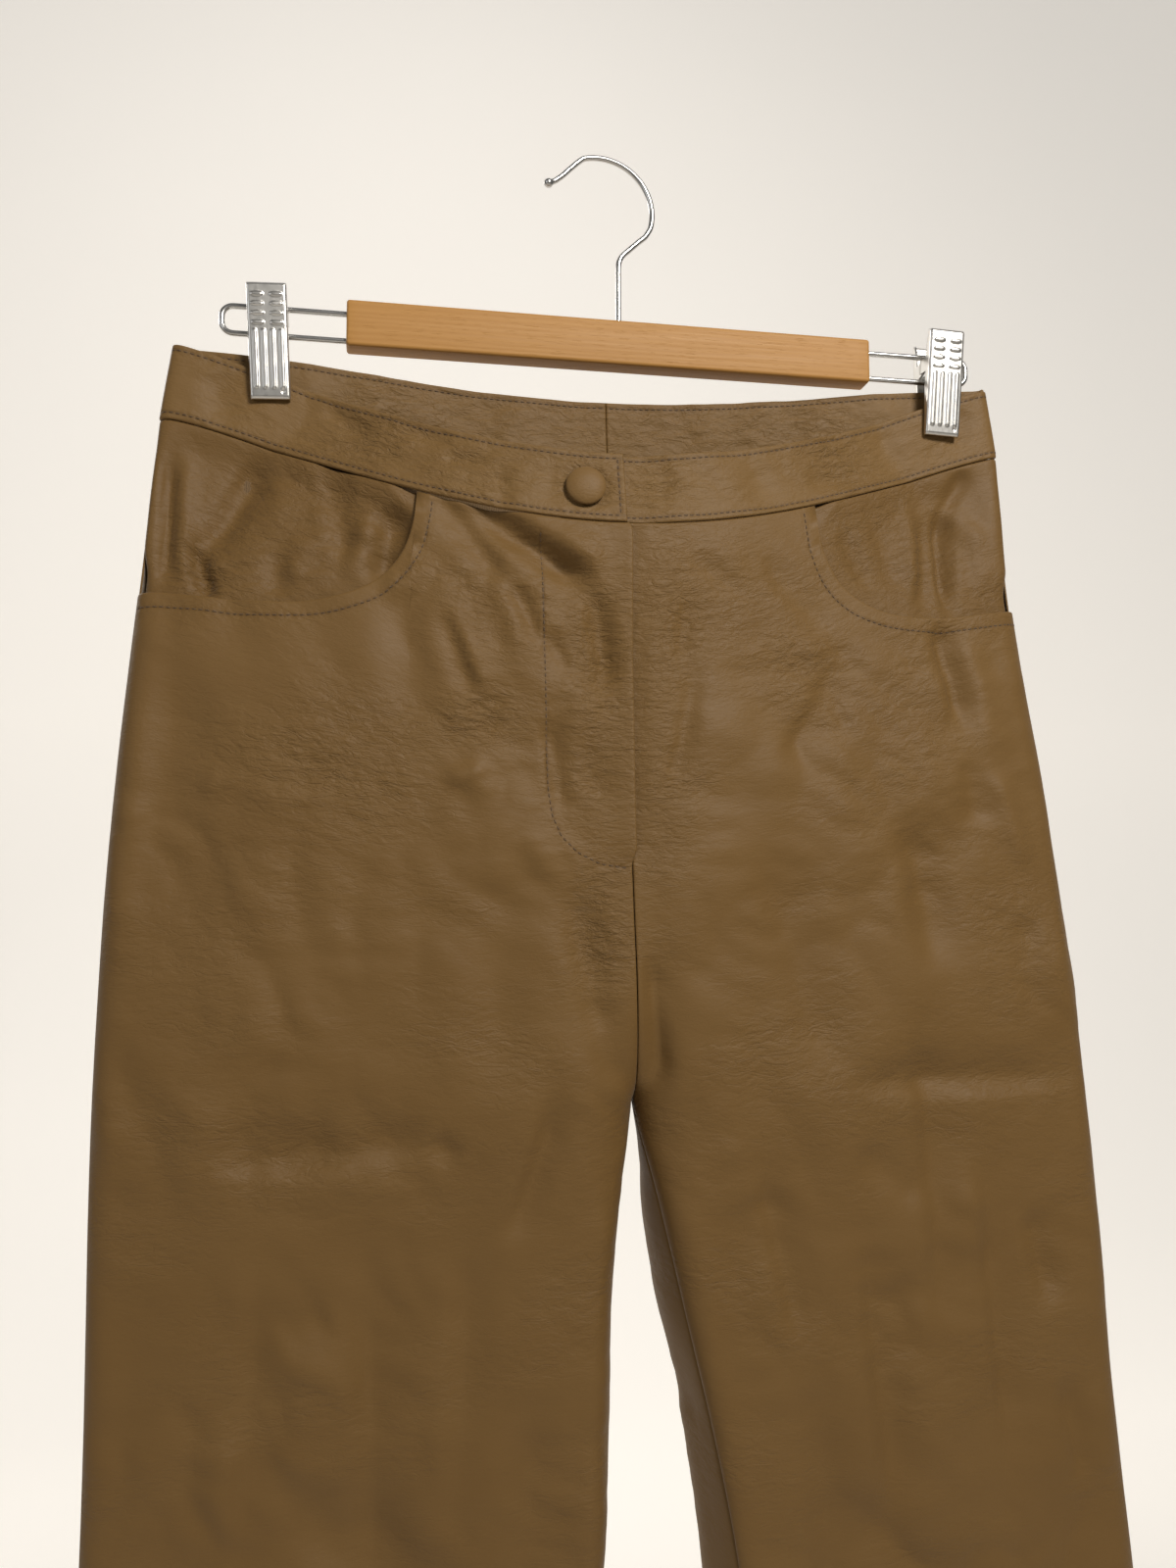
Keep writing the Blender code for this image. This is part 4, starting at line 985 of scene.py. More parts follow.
def stitch_row(name, surface, lines, material, sides=6):
    """Stitches along lines of (across, below) places; surface gives the face and its direction."""
    points, faces = [], []
    for line in lines:
        track, out = surface(line)
        steps = np.linalg.norm(np.diff(track, axis=0), axis=1)
        length = np.concatenate(((0,), np.cumsum(steps)))
        for centre in np.arange(STITCH_PITCH / 2, length[-1] - 1.0, STITCH_PITCH):
            place, before, after, up = (
                np.array([np.interp(centre + way, length, values[:, k]) for k in range(3)])
                for way, values in ((0, track), (-0.8, track), (0.8, track), (0, out)))
            along = (after - before) / np.linalg.norm(after - before)
            up = up / np.linalg.norm(up)
            over = np.cross(along, up)
            start = len(points)
            for reach, radius, rise in STITCH_SHAPE:
                for step in range(sides):
                    turn = 2 * math.pi * step / sides
                    points.append(place + along * reach + up * (rise + radius * math.sin(turn))
                                  + over * radius * math.cos(turn))
            for ring in range(len(STITCH_SHAPE) - 1):
                for step in range(sides):
                    there = (step + 1) % sides
                    low, high = start + ring * sides, start + (ring + 1) * sides
                    faces.append((low + step, low + there, high + there, high + step))
            faces.append(tuple(range(start + sides - 1, start - 1, -1)))
            last = start + (len(STITCH_SHAPE) - 1) * sides
            faces.append(tuple(range(last, last + sides)))
    mesh = bpy.data.meshes.new(name)
    mesh.from_pydata((np.array(points) * MM).tolist(), [], faces)
    return made(name, mesh, material)


POCKET_START = 94.0
POCKET_DEPTH = 81.0
POCKET_POWER = 2.5
MOUTH_STITCH = 7.0
FLY_END = 190.0
FLY_LAP = 2.2
FLY_STEP = 1.5
FLY_FADE = 11.0
HEM_TURN = 25.0
HEM_DOUBLED = 0.9
PANEL_WIDTH = 235.0
FRONT_COLUMNS = 104
CENTRE_COLUMNS = 44
LEVEL_FROM = 200.0
EDGE_ROLL = {"radius": 1.3, "drop": 0.75}
NO_STITCH = 60.0

FRONT_FOLDS = {
    RIGHT: (
        (-88, -174, -66, -201, -50, -226, 8, 4, 2.9), (-54, -220, -43, -227, -40, -249, 5, 3, 2.2),
        (-76, -178, -44, -201, -8, -226, 8, 5, 5.0), (-16, -222, -9, -240, -9, -272, 6, 4, 3.6),
        (-52, -190, -28, -200, -8, -213, 5, 5, -1.6), (-64, -208, -50, -232, -46, -262, 5, 6, -1.3),
        (-36, -240, -30, -250, -25, -264, 5, 3, 1.7), (-36, -280, -32, -304, -27, -328, 3, 5, 1.6),
        (-84, -228, -74, -252, -66, -276, 6, 3, 1.9), (-101, -220, -97, -256, -95, -290, 9, 12, 1.5),
        (-78, -232, -68, -254, -60, -274, 3, 3, -0.8), (-20, -280, -16, -300, -14, -322, 5, 6, 0.8),
        (-82, -311, -72, -307, -58, -301, 3, 5, -1.4), (-60, -290, -48, -296, -38, -292, 4, 5, 0.8),
        (-78, -281, -66, -277, -50, -271, 2.4, 3, 1.2), (-76, -286, -65, -285, -53, -281, 2.4, 3, 1.0),
        (-78, -308, -70, -308, -62, -305, 4, 4, -0.8), (-164, -286, -145, -288, -132, -286, 4, 5, -0.6),
        (-151, -296, -132, -296, -113, -295, 3.5, 4.5, -0.6),
        (-186, -310, -175, -311, -163, -310, 4, 5, -0.9),
        (-157, -317, -140, -318, -123, -316, 3.5, 4.5, -0.7),
        (-75, -312, -65, -313, -54, -312, 3, 4, -0.7),
        (-197, -241, -196, -311, -190, -395, 12, 18, 3.0),
        (-184, -472, -133, -472, -78, -465, 4, 13, 3.5), (-84, -462, -78, -467, -72, -474, 5, 5, 2.1),
        (-146, -548, -135, -541, -124, -534, 8, 11, 1.9), (-26, -352, -17, -389, -3, -457, 7, 9, 2.7),
        (-35, -267, -32, -297, -28, -323, 5, 9, 0.7), (-110, -223, -95, -223, -87, -205, 6, 7, -1.5),
        (-45, -330, -60, -390, -52, -452, 12, 16, 2.0), (-150, -600, -110, -640, -60, -690, 16, 22, 3.8),
        (-190, -640, -150, -700, -120, -790, 18, 24, 3.5), (-60, -770, -90, -850, -100, -960, 16, 20, 3.2),
        (-180, -830, -150, -900, -150, -1010, 15, 22, -2.9), (-40, -560, -38, -640, -46, -720, 9, 13, 2.9),
        (-112, -500, -104, -580, -108, -680, 7, 16, 3.2), (-152, -500, -160, -570, -158, -650, 6, 13, 2.6),
        (-70, -500, -66, -560, -74, -640, 6, 12, 2.4), (-30, -440, -38, -480, -52, -510, 4, 8, 2.6),
    ),
    LEFT: (
        (28, -222, 26, -240, 25, -256, 3, 4, 1.5), (32, -250, 28, -282, 20, -316, 4, 5, 1.7),
        (28, -202, 42, -215, 62, -225, 3.5, 5, 1.1), (114, -234, 91, -272, 72, -304, 5, 11, 2.0),
        (64, -200, 78, -222, 104, -236, 5, 8, 1.3), (40, -260, 70, -258, 104, -250, 4, 7, 1.0),
        (138, -316, 147, -353, 152, -399, 10, 14, 4.3), (168, -292, 174, -309, 175, -330, 7, 9, 2.2),
        (182, -297, 193, -322, 201, -353, 6, 7, -1.6), (192, -372, 197, -376, 205, -383, 3.5, 5, 1.2),
        (96, -445, 162, -446, 232, -448, 4, 12, 3.2), (106, -472, 125, -487, 145, -501, 7, 9, 1.8),
        (196, -505, 203, -528, 209, -556, 7, 9, 3.2), (212, -582, 219, -610, 224, -637, 6, 8, 2.1),
        (127, -527, 130, -551, 131, -575, 6, 8, 1.4), (158, -226, 160, -245, 171, -284, 5, 8, 4.4),
        (170, -232, 176, -262, 186, -300, 7, 9, -1.8), (81, -246, 91, -243, 101, -238, 5, 5, -0.8),
        (6, -379, 10, -418, 12, -451, 7, 10, 4.9), (60, -330, 88, -392, 96, -446, 14, 18, 2.3),
        (90, -620, 130, -670, 180, -700, 16, 22, 3.8), (215, -700, 190, -780, 175, -860, 16, 24, 3.5),
        (110, -760, 120, -850, 122, -960, 14, 20, 3.4), (180, -890, 190, -960, 196, -1050, 14, 18, -2.9),
        (88, -560, 92, -640, 104, -720, 9, 12, 2.6),
        (140, -400, 148, -480, 152, -570, 7, 15, 3.0), (172, -470, 180, -540, 186, -640, 6, 13, 2.7),
        (112, -500, 118, -570, 130, -650, 6, 12, 2.6), (60, -470, 72, -520, 84, -570, 5, 9, 2.4),
    ),
}
FRONT_CRUMPLES = {
    RIGHT: ((-12, -262, 16, 70, 0.75), (-12, -375, 14, 30, 0.95), (-64, -281, 20, 14, 1.0),
            (-140, -300, 55, 30, 0.55), (-60, -230, 30, 40, 0.4), (-130, -470, 70, 22, 0.35),
            (-178, -360, 30, 40, 0.25)),
    LEFT: ((22, -225, 22, 40, 0.75), (45, -215, 30, 25, 0.5), (84, -252, 30, 24, 0.7),
           (15, -300, 18, 60, 0.5), (150, -260, 25, 40, 0.4), (120, -450, 60, 24, 0.4),
           (195, -360, 26, 40, 0.35)),
}


def scoop(share):
    """Depth of the pocket mouth, from 0 on the waist seam to 1 at the side seam."""
    return (1 - (1 - share) ** POCKET_POWER) ** (1 / POCKET_POWER)


def across_at(side, distance, below):
    """Share across a front where it is a given distance from the centre line."""
    row = on_form(side, FRONT, FORM_ACROSS, np.full(len(FORM_ACROSS), float(below)))[:, 0]
    return float(np.interp(distance, side * (row - at_level(OUTLINE, "centre", below)), FORM_ACROSS))


MOUTH_ACROSS = {side: across_at(side, POCKET_START, 0) for side in (RIGHT, LEFT)}


def mouth_line(side, count):
    """The pocket mouth from the waist seam to the side seam, as (across, below)."""
    turn = np.linspace(0.0, math.pi / 2, count)
    share = 1 - np.cos(turn) ** (2 / POCKET_POWER)
    across = MOUTH_ACROSS[side] + (1 - MOUTH_ACROSS[side]) * share
    return across, SEAM_GAP / 2 + POCKET_DEPTH * np.sin(turn) ** (2 / POCKET_POWER)


def to_flat(side, face, line):
    across, below = line
    return flat_place(side, face, np.asarray(across, float), np.asarray(below, float))


def from_flat(side, face, places):
    below = np.clip(places[:, 1], -BAND_HEIGHT, HEM)
    width = np.interp(below, FORM_BELOW, WIDTH[side, face])
    return np.clip(places[:, 0] / width, 0, 1), below


def beside(places, distance):
    """A line moved sideways in the flat by a distance."""
    way = np.gradient(places, axis=0)
    way /= np.linalg.norm(way, axis=1, keepdims=True)
    return places + np.stack((way[:, 1], -way[:, 0]), axis=1) * distance


HEM_LINE = (np.linspace(0.004, 0.996, 160), np.full(160, HEM - HEM_TURN))
FLY_STITCHES = ((-38.4, -197), (-37.5, -216), (-36.5, -250), (-35.5, -294), (-34.8, -312),
                (-33, -324), (-29, -333), (-22, -340), (-12, -345), (1, -347))


def front_stitches(side):
    """Stitch lines of a front as (across, below): pocket mouth, hem, and the fly on the right."""
    mouth = beside(to_flat(side, FRONT, mouth_line(side, 140)), -MOUTH_STITCH)
    mouth = mouth[mouth[:, 1] > 2.5]
    lines = {"pocket": from_flat(side, FRONT, mouth), "hem": HEM_LINE}
    if side == RIGHT:
        knots = np.array([place_of(side, FRONT, x, z) for x, z in FLY_STITCHES])
        steps = np.concatenate(((0,), np.cumsum(np.hypot(
            np.diff(knots[:, 0]) * 200, np.diff(knots[:, 1])))))
        even = np.linspace(0, steps[-1], 120)
        lines["fly"] = (np.interp(even, steps, knots[:, 0]), np.interp(even, steps, knots[:, 1]))
    return lines


def front_surface(side, across, below):
    """A front's face before its edges are turned: points, directions, standing out, wrinkling."""
    points, out, shift, wrinkled = lay(side, FRONT, across, below, CLOTH_WALL, FRONT_FOLDS[side],
                                       FRONT_CRUMPLES[side], seed=3.0 if side == RIGHT else 21.0)
    width = np.interp(below, FORM_BELOW, WIDTH[side, FRONT])
    fly = smooth((FLY_END - below) / 10) * smooth((below + 2) / 6)
    near = smooth(1 - across * width / FLY_FADE)
    if side == RIGHT:
        points = points + np.stack((FLY_LAP * fly * near, 0 * fly, 0 * fly), axis=-1)
    return points, out, shift - side * FLY_STEP * fly * near, wrinkled


def front_places(side):
    """The grid of a front: its top edge is the waist seam and the pocket mouth."""
    reach = MOUTH_ACROSS[side]
    ends = len(NEAR_EDGE)
    waist = spaced(POCKET_START, CENTRE_COLUMNS + ends)[:-ends] / POCKET_START * reach
    across, below = mouth_line(side, 400)
    places = to_flat(side, FRONT, (across, below))
    length = np.concatenate(((0,), np.cumsum(np.linalg.norm(np.diff(places, axis=0), axis=1))))
    along = spaced(length[-1], FRONT_COLUMNS - CENTRE_COLUMNS + ends)[ends:]
    along[0] = 0.0
    top_across = np.concatenate((waist, np.interp(along, length, across)))
    top_below = np.concatenate((np.full(len(waist), SEAM_GAP / 2), np.interp(along, length, below)))
    low_across = spaced(PANEL_WIDTH, FRONT_COLUMNS) / PANEL_WIDTH
    near_top = NEAR_EDGE / LEVEL_FROM
    rows_across, rows_below = [], []
    for share in np.concatenate((near_top, np.linspace(near_top[-1], 1, 66)[1:-1])):
        rows_across.append(top_across + (low_across - top_across) * smooth(share))
        rows_below.append(top_below + (LEVEL_FROM - top_below) * share)
    for level in np.concatenate((np.linspace(LEVEL_FROM, HEM - NEAR_EDGE[-1], 240)[:-1],
                                 HEM - NEAR_EDGE[::-1])):
        rows_across.append(low_across)
        rows_below.append(np.full(FRONT_COLUMNS, level))
    return np.array(rows_across), np.array(rows_below)


def panel(name, side, face, across, below, surface, lines, edge, materials):
    """Makes one leg panel: face, reverse, turned edges, hem and stitch puckers."""
    places = flat_place(side, face, across, below)
    points, out, shift, wrinkled = surface(side, across, below)
    width = np.interp(below, FORM_BELOW, WIDTH[side, face])
    to_edge = np.minimum(across * width, (1 - across) * width)
    to_edge = np.minimum(to_edge, HEM - below)
    to_edge = np.minimum(to_edge, edge(places))
    stitch = nearest([to_flat(side, face, line) for line in lines.values()], places)
    turned_in = roll(to_edge, **EDGE_ROLL)
    outer = points + out * (shift - turned_in)[..., None]
    doubled = HEM_DOUBLED * smooth((below - (HEM - HEM_TURN - 1)) / 1.5)
    inner = points + out * (shift - CLOTH_WALL - doubled)[..., None]
    past = 0.0
    if face == FRONT and side == RIGHT:
        past = FLY_LAP * smooth((FLY_END - below) / 10)
    outer, inner = (hold_back(layer, side, below, past) for layer in (outer, inner))
    layers = {"crumple": wrinkled, "stitch": stitch}
    cloth = sheet_mesh(name, outer, inner, places, layers, materials)
    stands_for(cloth, name)
    return cloth


def face_of(surface, *which, wall=0.0):
    """Gives stitch_row the face under a line of places, or with a wall the face inside it."""
    def at(line):
        points, out, shift, _ = surface(*which, np.asarray(line[0]), np.asarray(line[1]))
        return points + out * (shift - wall)[..., None], -out if wall else out
    return at


for side, label in ((RIGHT, "right"), (LEFT, "left")):
    across, below = front_places(side)
    top = to_flat(side, FRONT, (across[0], below[0]))
    lines = front_stitches(side)
    panel("front_" + label, side, FRONT, across, below, front_surface, lines,
                         lambda places, top=top: distance_to(top, places)[0],
                         (LEATHER_BODY, JERSEY))
    plain = [line for kind, line in lines.items() if kind != "fly"]
    rows = [stitch_row("front_" + label + "_stitches", face_of(front_surface, side), plain, THREAD)]
    if side == RIGHT:
        rows.append(stitch_row("fly_stitches", face_of(front_surface, side), [lines["fly"]],
                               THREAD_FLY))

# --- Backs ----------------------------------------------------------------------------------------
# Two plain backs, joined at the centre-back seam, at the side seams and inseams.  They hang slack, so
# the waist's sag runs into long soft folds below the band.

BACK_FOLDS = {
    RIGHT: (
        (-170, -182, -120, -212, -60, -246, 12, 18, 3.6), (-120, -176, -84, -204, -40, -222, 9, 13, 2.7),
        (-186, -300, -150, -318, -96, -322, 12, 16, 2.8), (-180, -420, -120, -436, -56, -438, 12, 18, 3.9),
        (-60, -330, -44, -380, -20, -430, 10, 12, 3.3), (-150, -470, -110, -500, -70, -560, 14, 18, 2.7),
        (-196, -520, -180, -600, -170, -700, 14, 20, 3.0), (-70, -620, -110, -720, -120, -840, 18, 24, 3.3),
        (-190, -860, -160, -930, -158, -1040, 14, 20, -2.4), (-60, -900, -70, -980, -64, -1070, 12, 16, 2.4),
    ),
    LEFT: (
        (60, -244, 112, -214, 168, -182, 12, 18, 3.6), (34, -226, 84, -206, 126, -178, 9, 12, 2.4),
        (96, -318, 150, -312, 200, -296, 12, 16, 2.8), (80, -430, 150, -434, 214, -424, 12, 18, 3.9),
        (24, -350, 50, -400, 60, -450, 10, 12, 3.0), (96, -560, 140, -520, 196, -486, 14, 18, 2.7),
        (214, -560, 204, -640, 200, -740, 14, 20, 3.0), (120, -640, 150, -740, 146, -860, 18, 24, 3.3),
        (196, -880, 190, -960, 192, -1050, 14, 18, -2.4), (108, -880, 112, -960, 112, -1060, 12, 16, 2.4),
    ),
}
BACK_CRUMPLES = {
    RIGHT: ((-60, -300, 50, 50, 0.35), (-120, -440, 70, 26, 0.4), (-30, -400, 24, 50, 0.4)),
    LEFT: ((60, -300, 50, 50, 0.35), (140, -440, 70, 26, 0.4), (40, -400, 24, 50, 0.4)),
}


def back_surface(side, across, below):
    return lay(side, BACK, across, below, CLOTH_WALL, BACK_FOLDS[side], BACK_CRUMPLES[side],
               seed=41.0 if side == RIGHT else 57.0)


for side, label in ((RIGHT, "right"), (LEFT, "left")):
    columns = spaced(PANEL_WIDTH, 96) / PANEL_WIDTH
    levels = np.concatenate((SEAM_GAP / 2 + NEAR_EDGE, np.linspace(3.5, HEM - 3.4, 290)[1:-1],
                             HEM - NEAR_EDGE[::-1]))
    across, below = np.meshgrid(columns, levels)
    back = panel("back_" + label, side, BACK, across, below, back_surface, {"hem": HEM_LINE},
                 lambda places: places[..., 1] - SEAM_GAP / 2, (LEATHER_BODY, JERSEY))
    row = stitch_row("back_" + label + "_stitches", face_of(back_surface, side), [HEM_LINE], THREAD)

# --- Pocket facings -------------------------------------------------------------------------------
# The corner of the hip inside each pocket mouth: one piece of the same cloth to a side, level with the
# waistband along its top and tucked 12 mm behind the front.  It hangs in deep soft folds.

FACING_TUCK = 12.0
FACING_STEP = 3.0
FACING_FADE = 14.0
FACING_COVER = 0.06
FACING_SIZE = (120, 93)
FACING_CORNER = 0.12
FLUSH = {"from": 0.90, "over": 0.08, "down_to": 58, "fade": 16, "share": 0.9}
FACING_FOLDS = {
    RIGHT: (
        (-204, -150, -205, -191, -204, -228, 5, 5, 4.2), (-196, -158, -197, -190, -195, -224, 4, 4, -1.8),
        (-194, -200, -190, -213, -184, -230, 3, 5, 4.4), (-162, -155, -176, -184, -191, -208, 4, 9, 4.0),
        (-104, -180, -105, -202, -112, -224, 6, 9, 5.2), (-135, -158, -128, -185, -124, -220, 5, 9, 2.4),
        (-140, -196, -146, -206, -148, -222, 5, 6, -1.2), (-112, -190, -120, -200, -122, -216, 5, 7, -1.2),
        (-156, -204, -155, -214, -155, -228, 5, 6, 1.6), (-150, -168, -156, -186, -158, -200, 6, 7, -1.0),
    ),
    LEFT: (
        (169, -160, 168, -188, 166, -228, 3.5, 5, 5.2), (160, -165, 158, -194, 151, -230, 5, 6, 2.6),
        (149, -156, 149, -190, 149, -214, 5, 5, -1.5), (110, -182, 117, -198, 124, -215, 5, 6, 1.6),
        (182, -144, 177, -156, 169, -168, 4, 5, 2.4), (184, -168, 186, -190, 188, -216, 5, 6, -1.4),
        (130, -172, 134, -190, 136, -216, 6, 7, 1.3),
    ),
}
FACING_CRUMPLES = {
    RIGHT: ((-150, -190, 50, 36, 0.45), (-185, -210, 20, 20, 0.6)),
    LEFT: ((120, -198, 24, 24, 0.6), (150, -190, 30, 36, 0.5)),
}

# Painted shade: the facing's colours are a darker copy of the body cloth's, for the shade it lies in behind
# the front.
LEATHER_FACING = leather("faux_leather_facing", (0.150, 0.080, 0.021), (0.176, 0.098, 0.029),
                         creases=0.42)


def facing_surface(side, across, below):
    """A facing's face; it is level with the waistband in the open mouth and steps behind the front."""
    points, out, shift, wrinkled = lay(side, FRONT, across, below, CLOTH_WALL, FACING_FOLDS[side],
                                       FACING_CRUMPLES[side], seed=71.0 if side == RIGHT else 83.0,
                                       loose=0.6)
    covered = 1 - smooth((across - MOUTH_ACROSS[side]) / FACING_COVER)
    by_side = smooth((across - FLUSH["from"]) / FLUSH["over"])
    by_side = by_side * (1 - smooth((below - FLUSH["down_to"]) / FLUSH["fade"]))
    behind = smooth(below / FACING_FADE) * (1 - FLUSH["share"] * by_side)
    step = FACING_STEP * np.maximum(behind, covered)
    x, z = points[..., 0], points[..., 2]
    width = np.interp(below, FORM_BELOW, WIDTH[side, FRONT])
    follow = smooth(np.minimum(across, 1 - across) * width / 9)
    pressed = np.maximum(press_folds(FRONT_FOLDS[side], x, z), 0) * follow
    return points, out, shift - step - pressed, wrinkled


for side, label in ((RIGHT, "right"), (LEFT, "left")):
    tuck = across_at(side, POCKET_START - FACING_TUCK, 0)
    turn = np.linspace(FACING_CORNER, math.pi / 2, 400)
    share = 1 - np.cos(turn) ** (2 / POCKET_POWER)
    edge = np.stack((share, scoop(share)), axis=1)
    steps = np.hypot(*(np.diff(edge, axis=0) * FACING_SIZE).T)
    length = np.concatenate(((0,), np.cumsum(steps)))
    along = spaced(length[-1], 78)
    shares = np.interp(along, length, share)
    downs = np.concatenate(((0.0, 0.006, 0.013, 0.022), np.linspace(0.034, 1, 46)))
    across = np.tile(tuck + (1 - tuck) * shares, (len(downs), 1))
    deep = (POCKET_DEPTH + FACING_TUCK) * scoop(shares)
    below = SEAM_GAP / 2 + downs[:, None] * deep[None, :]
    places = flat_place(side, FRONT, across, below)
    points, out, shift, wrinkled = facing_surface(side, across, below)
    width = np.interp(below, FORM_BELOW, WIDTH[side, FRONT])
    turned_in = roll(np.minimum(below - SEAM_GAP / 2, (1 - across) * width), **EDGE_ROLL)
    outer = points + out * (shift - turned_in)[..., None]
    inner = points + out * (shift - CLOTH_WALL)[..., None]
    name = "pocket_facing_" + label
    layers = {"crumple": wrinkled, "stitch": np.full(across.shape, NO_STITCH)}
    facing = sheet_mesh(name, outer, inner, places, layers, (LEATHER_FACING, JERSEY))
    stands_for(facing, name)

# --- Waistband ------------------------------------------------------------------------------------
# Four lengths of doubled cloth with interfacing, 36 mm high, topstitched 3 mm from the upper edge and
# just above the waist seam.  The right front end laps over the left one, which runs on 30 mm behind it.

BAND_WALL = 2.2
BAND_SPAN = 212.0
BAND_ROLL = {"radius": 1.2, "drop": 0.8}
BACK_MEETING = 0.13
UNDERLAP = 30.0
UNDERLAP_STEP = 2.6
TOP_STITCH = -BAND_HEIGHT + 3.0
SEAM_STITCH = -3.0
BUTTON_ACROSS = 18.5
BUTTON_BELOW = -17.0
BUTTON_RADIUS = 9.2
BAND_FOLDS = {
    "band_front_right": (
        (-137, -133, -127, -142, -112, -154, 4, 6, 1.5), (-104, -143, -91, -151, -74, -156, 4, 5, 1.1),
        (-58, -166, -54, -175, -56, -189, 4, 5, 1.1), (-95, -168, -78, -167, -61, -172, 3.5, 4, -0.6),
        (-186, -120, -180, -132, -182, -146, 6, 8, 0.9), (-84, -160, -74, -164, -62, -166, 4, 5, 0.7),
        (-30, -158, -34, -172, -34, -186, 5, 6, 0.6),
    ),
    "band_front_left": (
        (98, -140, 108, -136, 118, -133, 3.5, 4.5, 0.9), (90, -162, 106, -162, 124, -154, 4, 5, 0.9),
        (18, -158, 19, -170, 16, -184, 4, 5, 0.7), (60, -160, 66, -170, 64, -180, 6, 8, 0.6),
        (182, -112, 178, -124, 180, -138, 5, 6, 0.8), (134, -128, 142, -138, 150, -146, 4, 5, 0.7),
    ),
    "band_back_right": (
        (-120, -110, -112, -130, -116, -150, 7, 9, 0.8), (-50, -118, -44, -134, -48, -160, 8, 10, 0.7),
    ),
    "band_back_left": (
        (110, -108, 104, -130, 108, -150, 7, 9, 0.8), (52, -118, 46, -136, 50, -158, 8, 10, 0.7),
    ),
}
BAND_CRUMPLES = {
    "band_front_right": ((-115, -150, 30, 16, 0.6), (-70, -168, 24, 14, 0.6), (-170, -130, 20, 18, 0.3)),
    "band_front_left": ((16, -172, 14, 18, 0.5), (106, -145, 26, 16, 0.6), (170, -130, 20, 18, 0.3)),
    "band_back_right": ((-80, -130, 60, 20, 0.25),),
    "band_back_left": ((80, -130, 60, 20, 0.25),),
}
# Painted light: the band's colours are a lighter copy of the body cloth's, for the stronger light at the
# waist.
LEATHER_BAND = leather("faux_leather_waistband", (0.168, 0.092, 0.026), (0.196, 0.112, 0.036),
                       creases=0.42)


def band_surface(name, side, face, across, below):
    seed = {"band_front_right": 5.0, "band_front_left": 15.0,
            "band_back_right": 25.0, "band_back_left": 35.0}[name]
    points, out, shift, wrinkled = lay(side, face, across, below, BAND_WALL, BAND_FOLDS[name],
                                       BAND_CRUMPLES[name], seed=seed, fade_top=4.0, loose=0.5)
    if name == "band_front_right":
        width = np.interp(below, FORM_BELOW, WIDTH[side, face])
        from_button = np.hypot(across * width - BUTTON_ACROSS, below - BUTTON_BELOW)
        dimple = 0.55 * np.exp(-((from_button - BUTTON_RADIUS) / 2.6) ** 2)
        shift = shift - dimple
        wrinkled = np.maximum(wrinkled, 0.5 * np.exp(-((from_button - BUTTON_RADIUS) / 5) ** 2))
    if face == BACK:
        meeting = BACK_MEETING * np.clip(1 - across * 60, 0, 1)
        points = points - np.stack((side * meeting, 0 * meeting, 0 * meeting), axis=-1)
    return points, out, shift, wrinkled


def underlap_surface(along, below):
    """The left front band: along runs in millimetres from the centre front, less than 0 behind."""
    width_l = np.interp(below, FORM_BELOW, WIDTH[LEFT, FRONT])
    width_r = np.interp(below, FORM_BELOW, WIDTH[RIGHT, FRONT])
    here = band_surface("band_front_left", LEFT, FRONT, np.maximum(along, 0) / width_l, below)
    behind = lay(RIGHT, FRONT, np.maximum(-along, 0) / width_r, below, BAND_WALL, seed=15.0, loose=0.0)
    past = along < 0
    points, out = (np.where(past[..., None], behind[k], here[k]) for k in (0, 1))
    shift, wrinkled = (np.where(past, behind[k], here[k]) for k in (2, 3))
    step = UNDERLAP_STEP * (1 - smooth((along / width_l - 0.02) / 0.12))
    return points, out, shift - step, wrinkled


BAND_LEVELS = np.concatenate((NEAR_EDGE - BAND_HEIGHT, np.linspace(-32.7, -3.45, 32)[1:-1],
                              -SEAM_GAP / 2 - NEAR_EDGE[::-1]))


def band(name, points, out, shift, wrinkled, flat, ends, stitch):
    """A doubled band: both faces are coated cloth, turned in along every edge."""
    from_top, from_seam = flat[..., 1] + BAND_HEIGHT, -SEAM_GAP / 2 - flat[..., 1]
    turned_in = roll(np.minimum(np.minimum(from_top, from_seam), ends), **BAND_ROLL)
    outer = points + out * (shift - turned_in)[..., None]
    inner = points + out * (shift - BAND_WALL + turned_in)[..., None]
    layers = {"crumple": wrinkled, "stitch": stitch}
    piece = sheet_mesh(name, outer, inner, flat, layers, (LEATHER_BAND,))
    stands_for(piece, name)
    return piece


def band_rows(flat, extra=()):
    """Distance to a band's two rows of topstitching and to any others."""
    best = np.minimum(np.abs(flat[..., 1] - TOP_STITCH), np.abs(flat[..., 1] - SEAM_STITCH))
    for line in extra:
        best = np.minimum(best, distance_to(line, flat)[0])
    return best


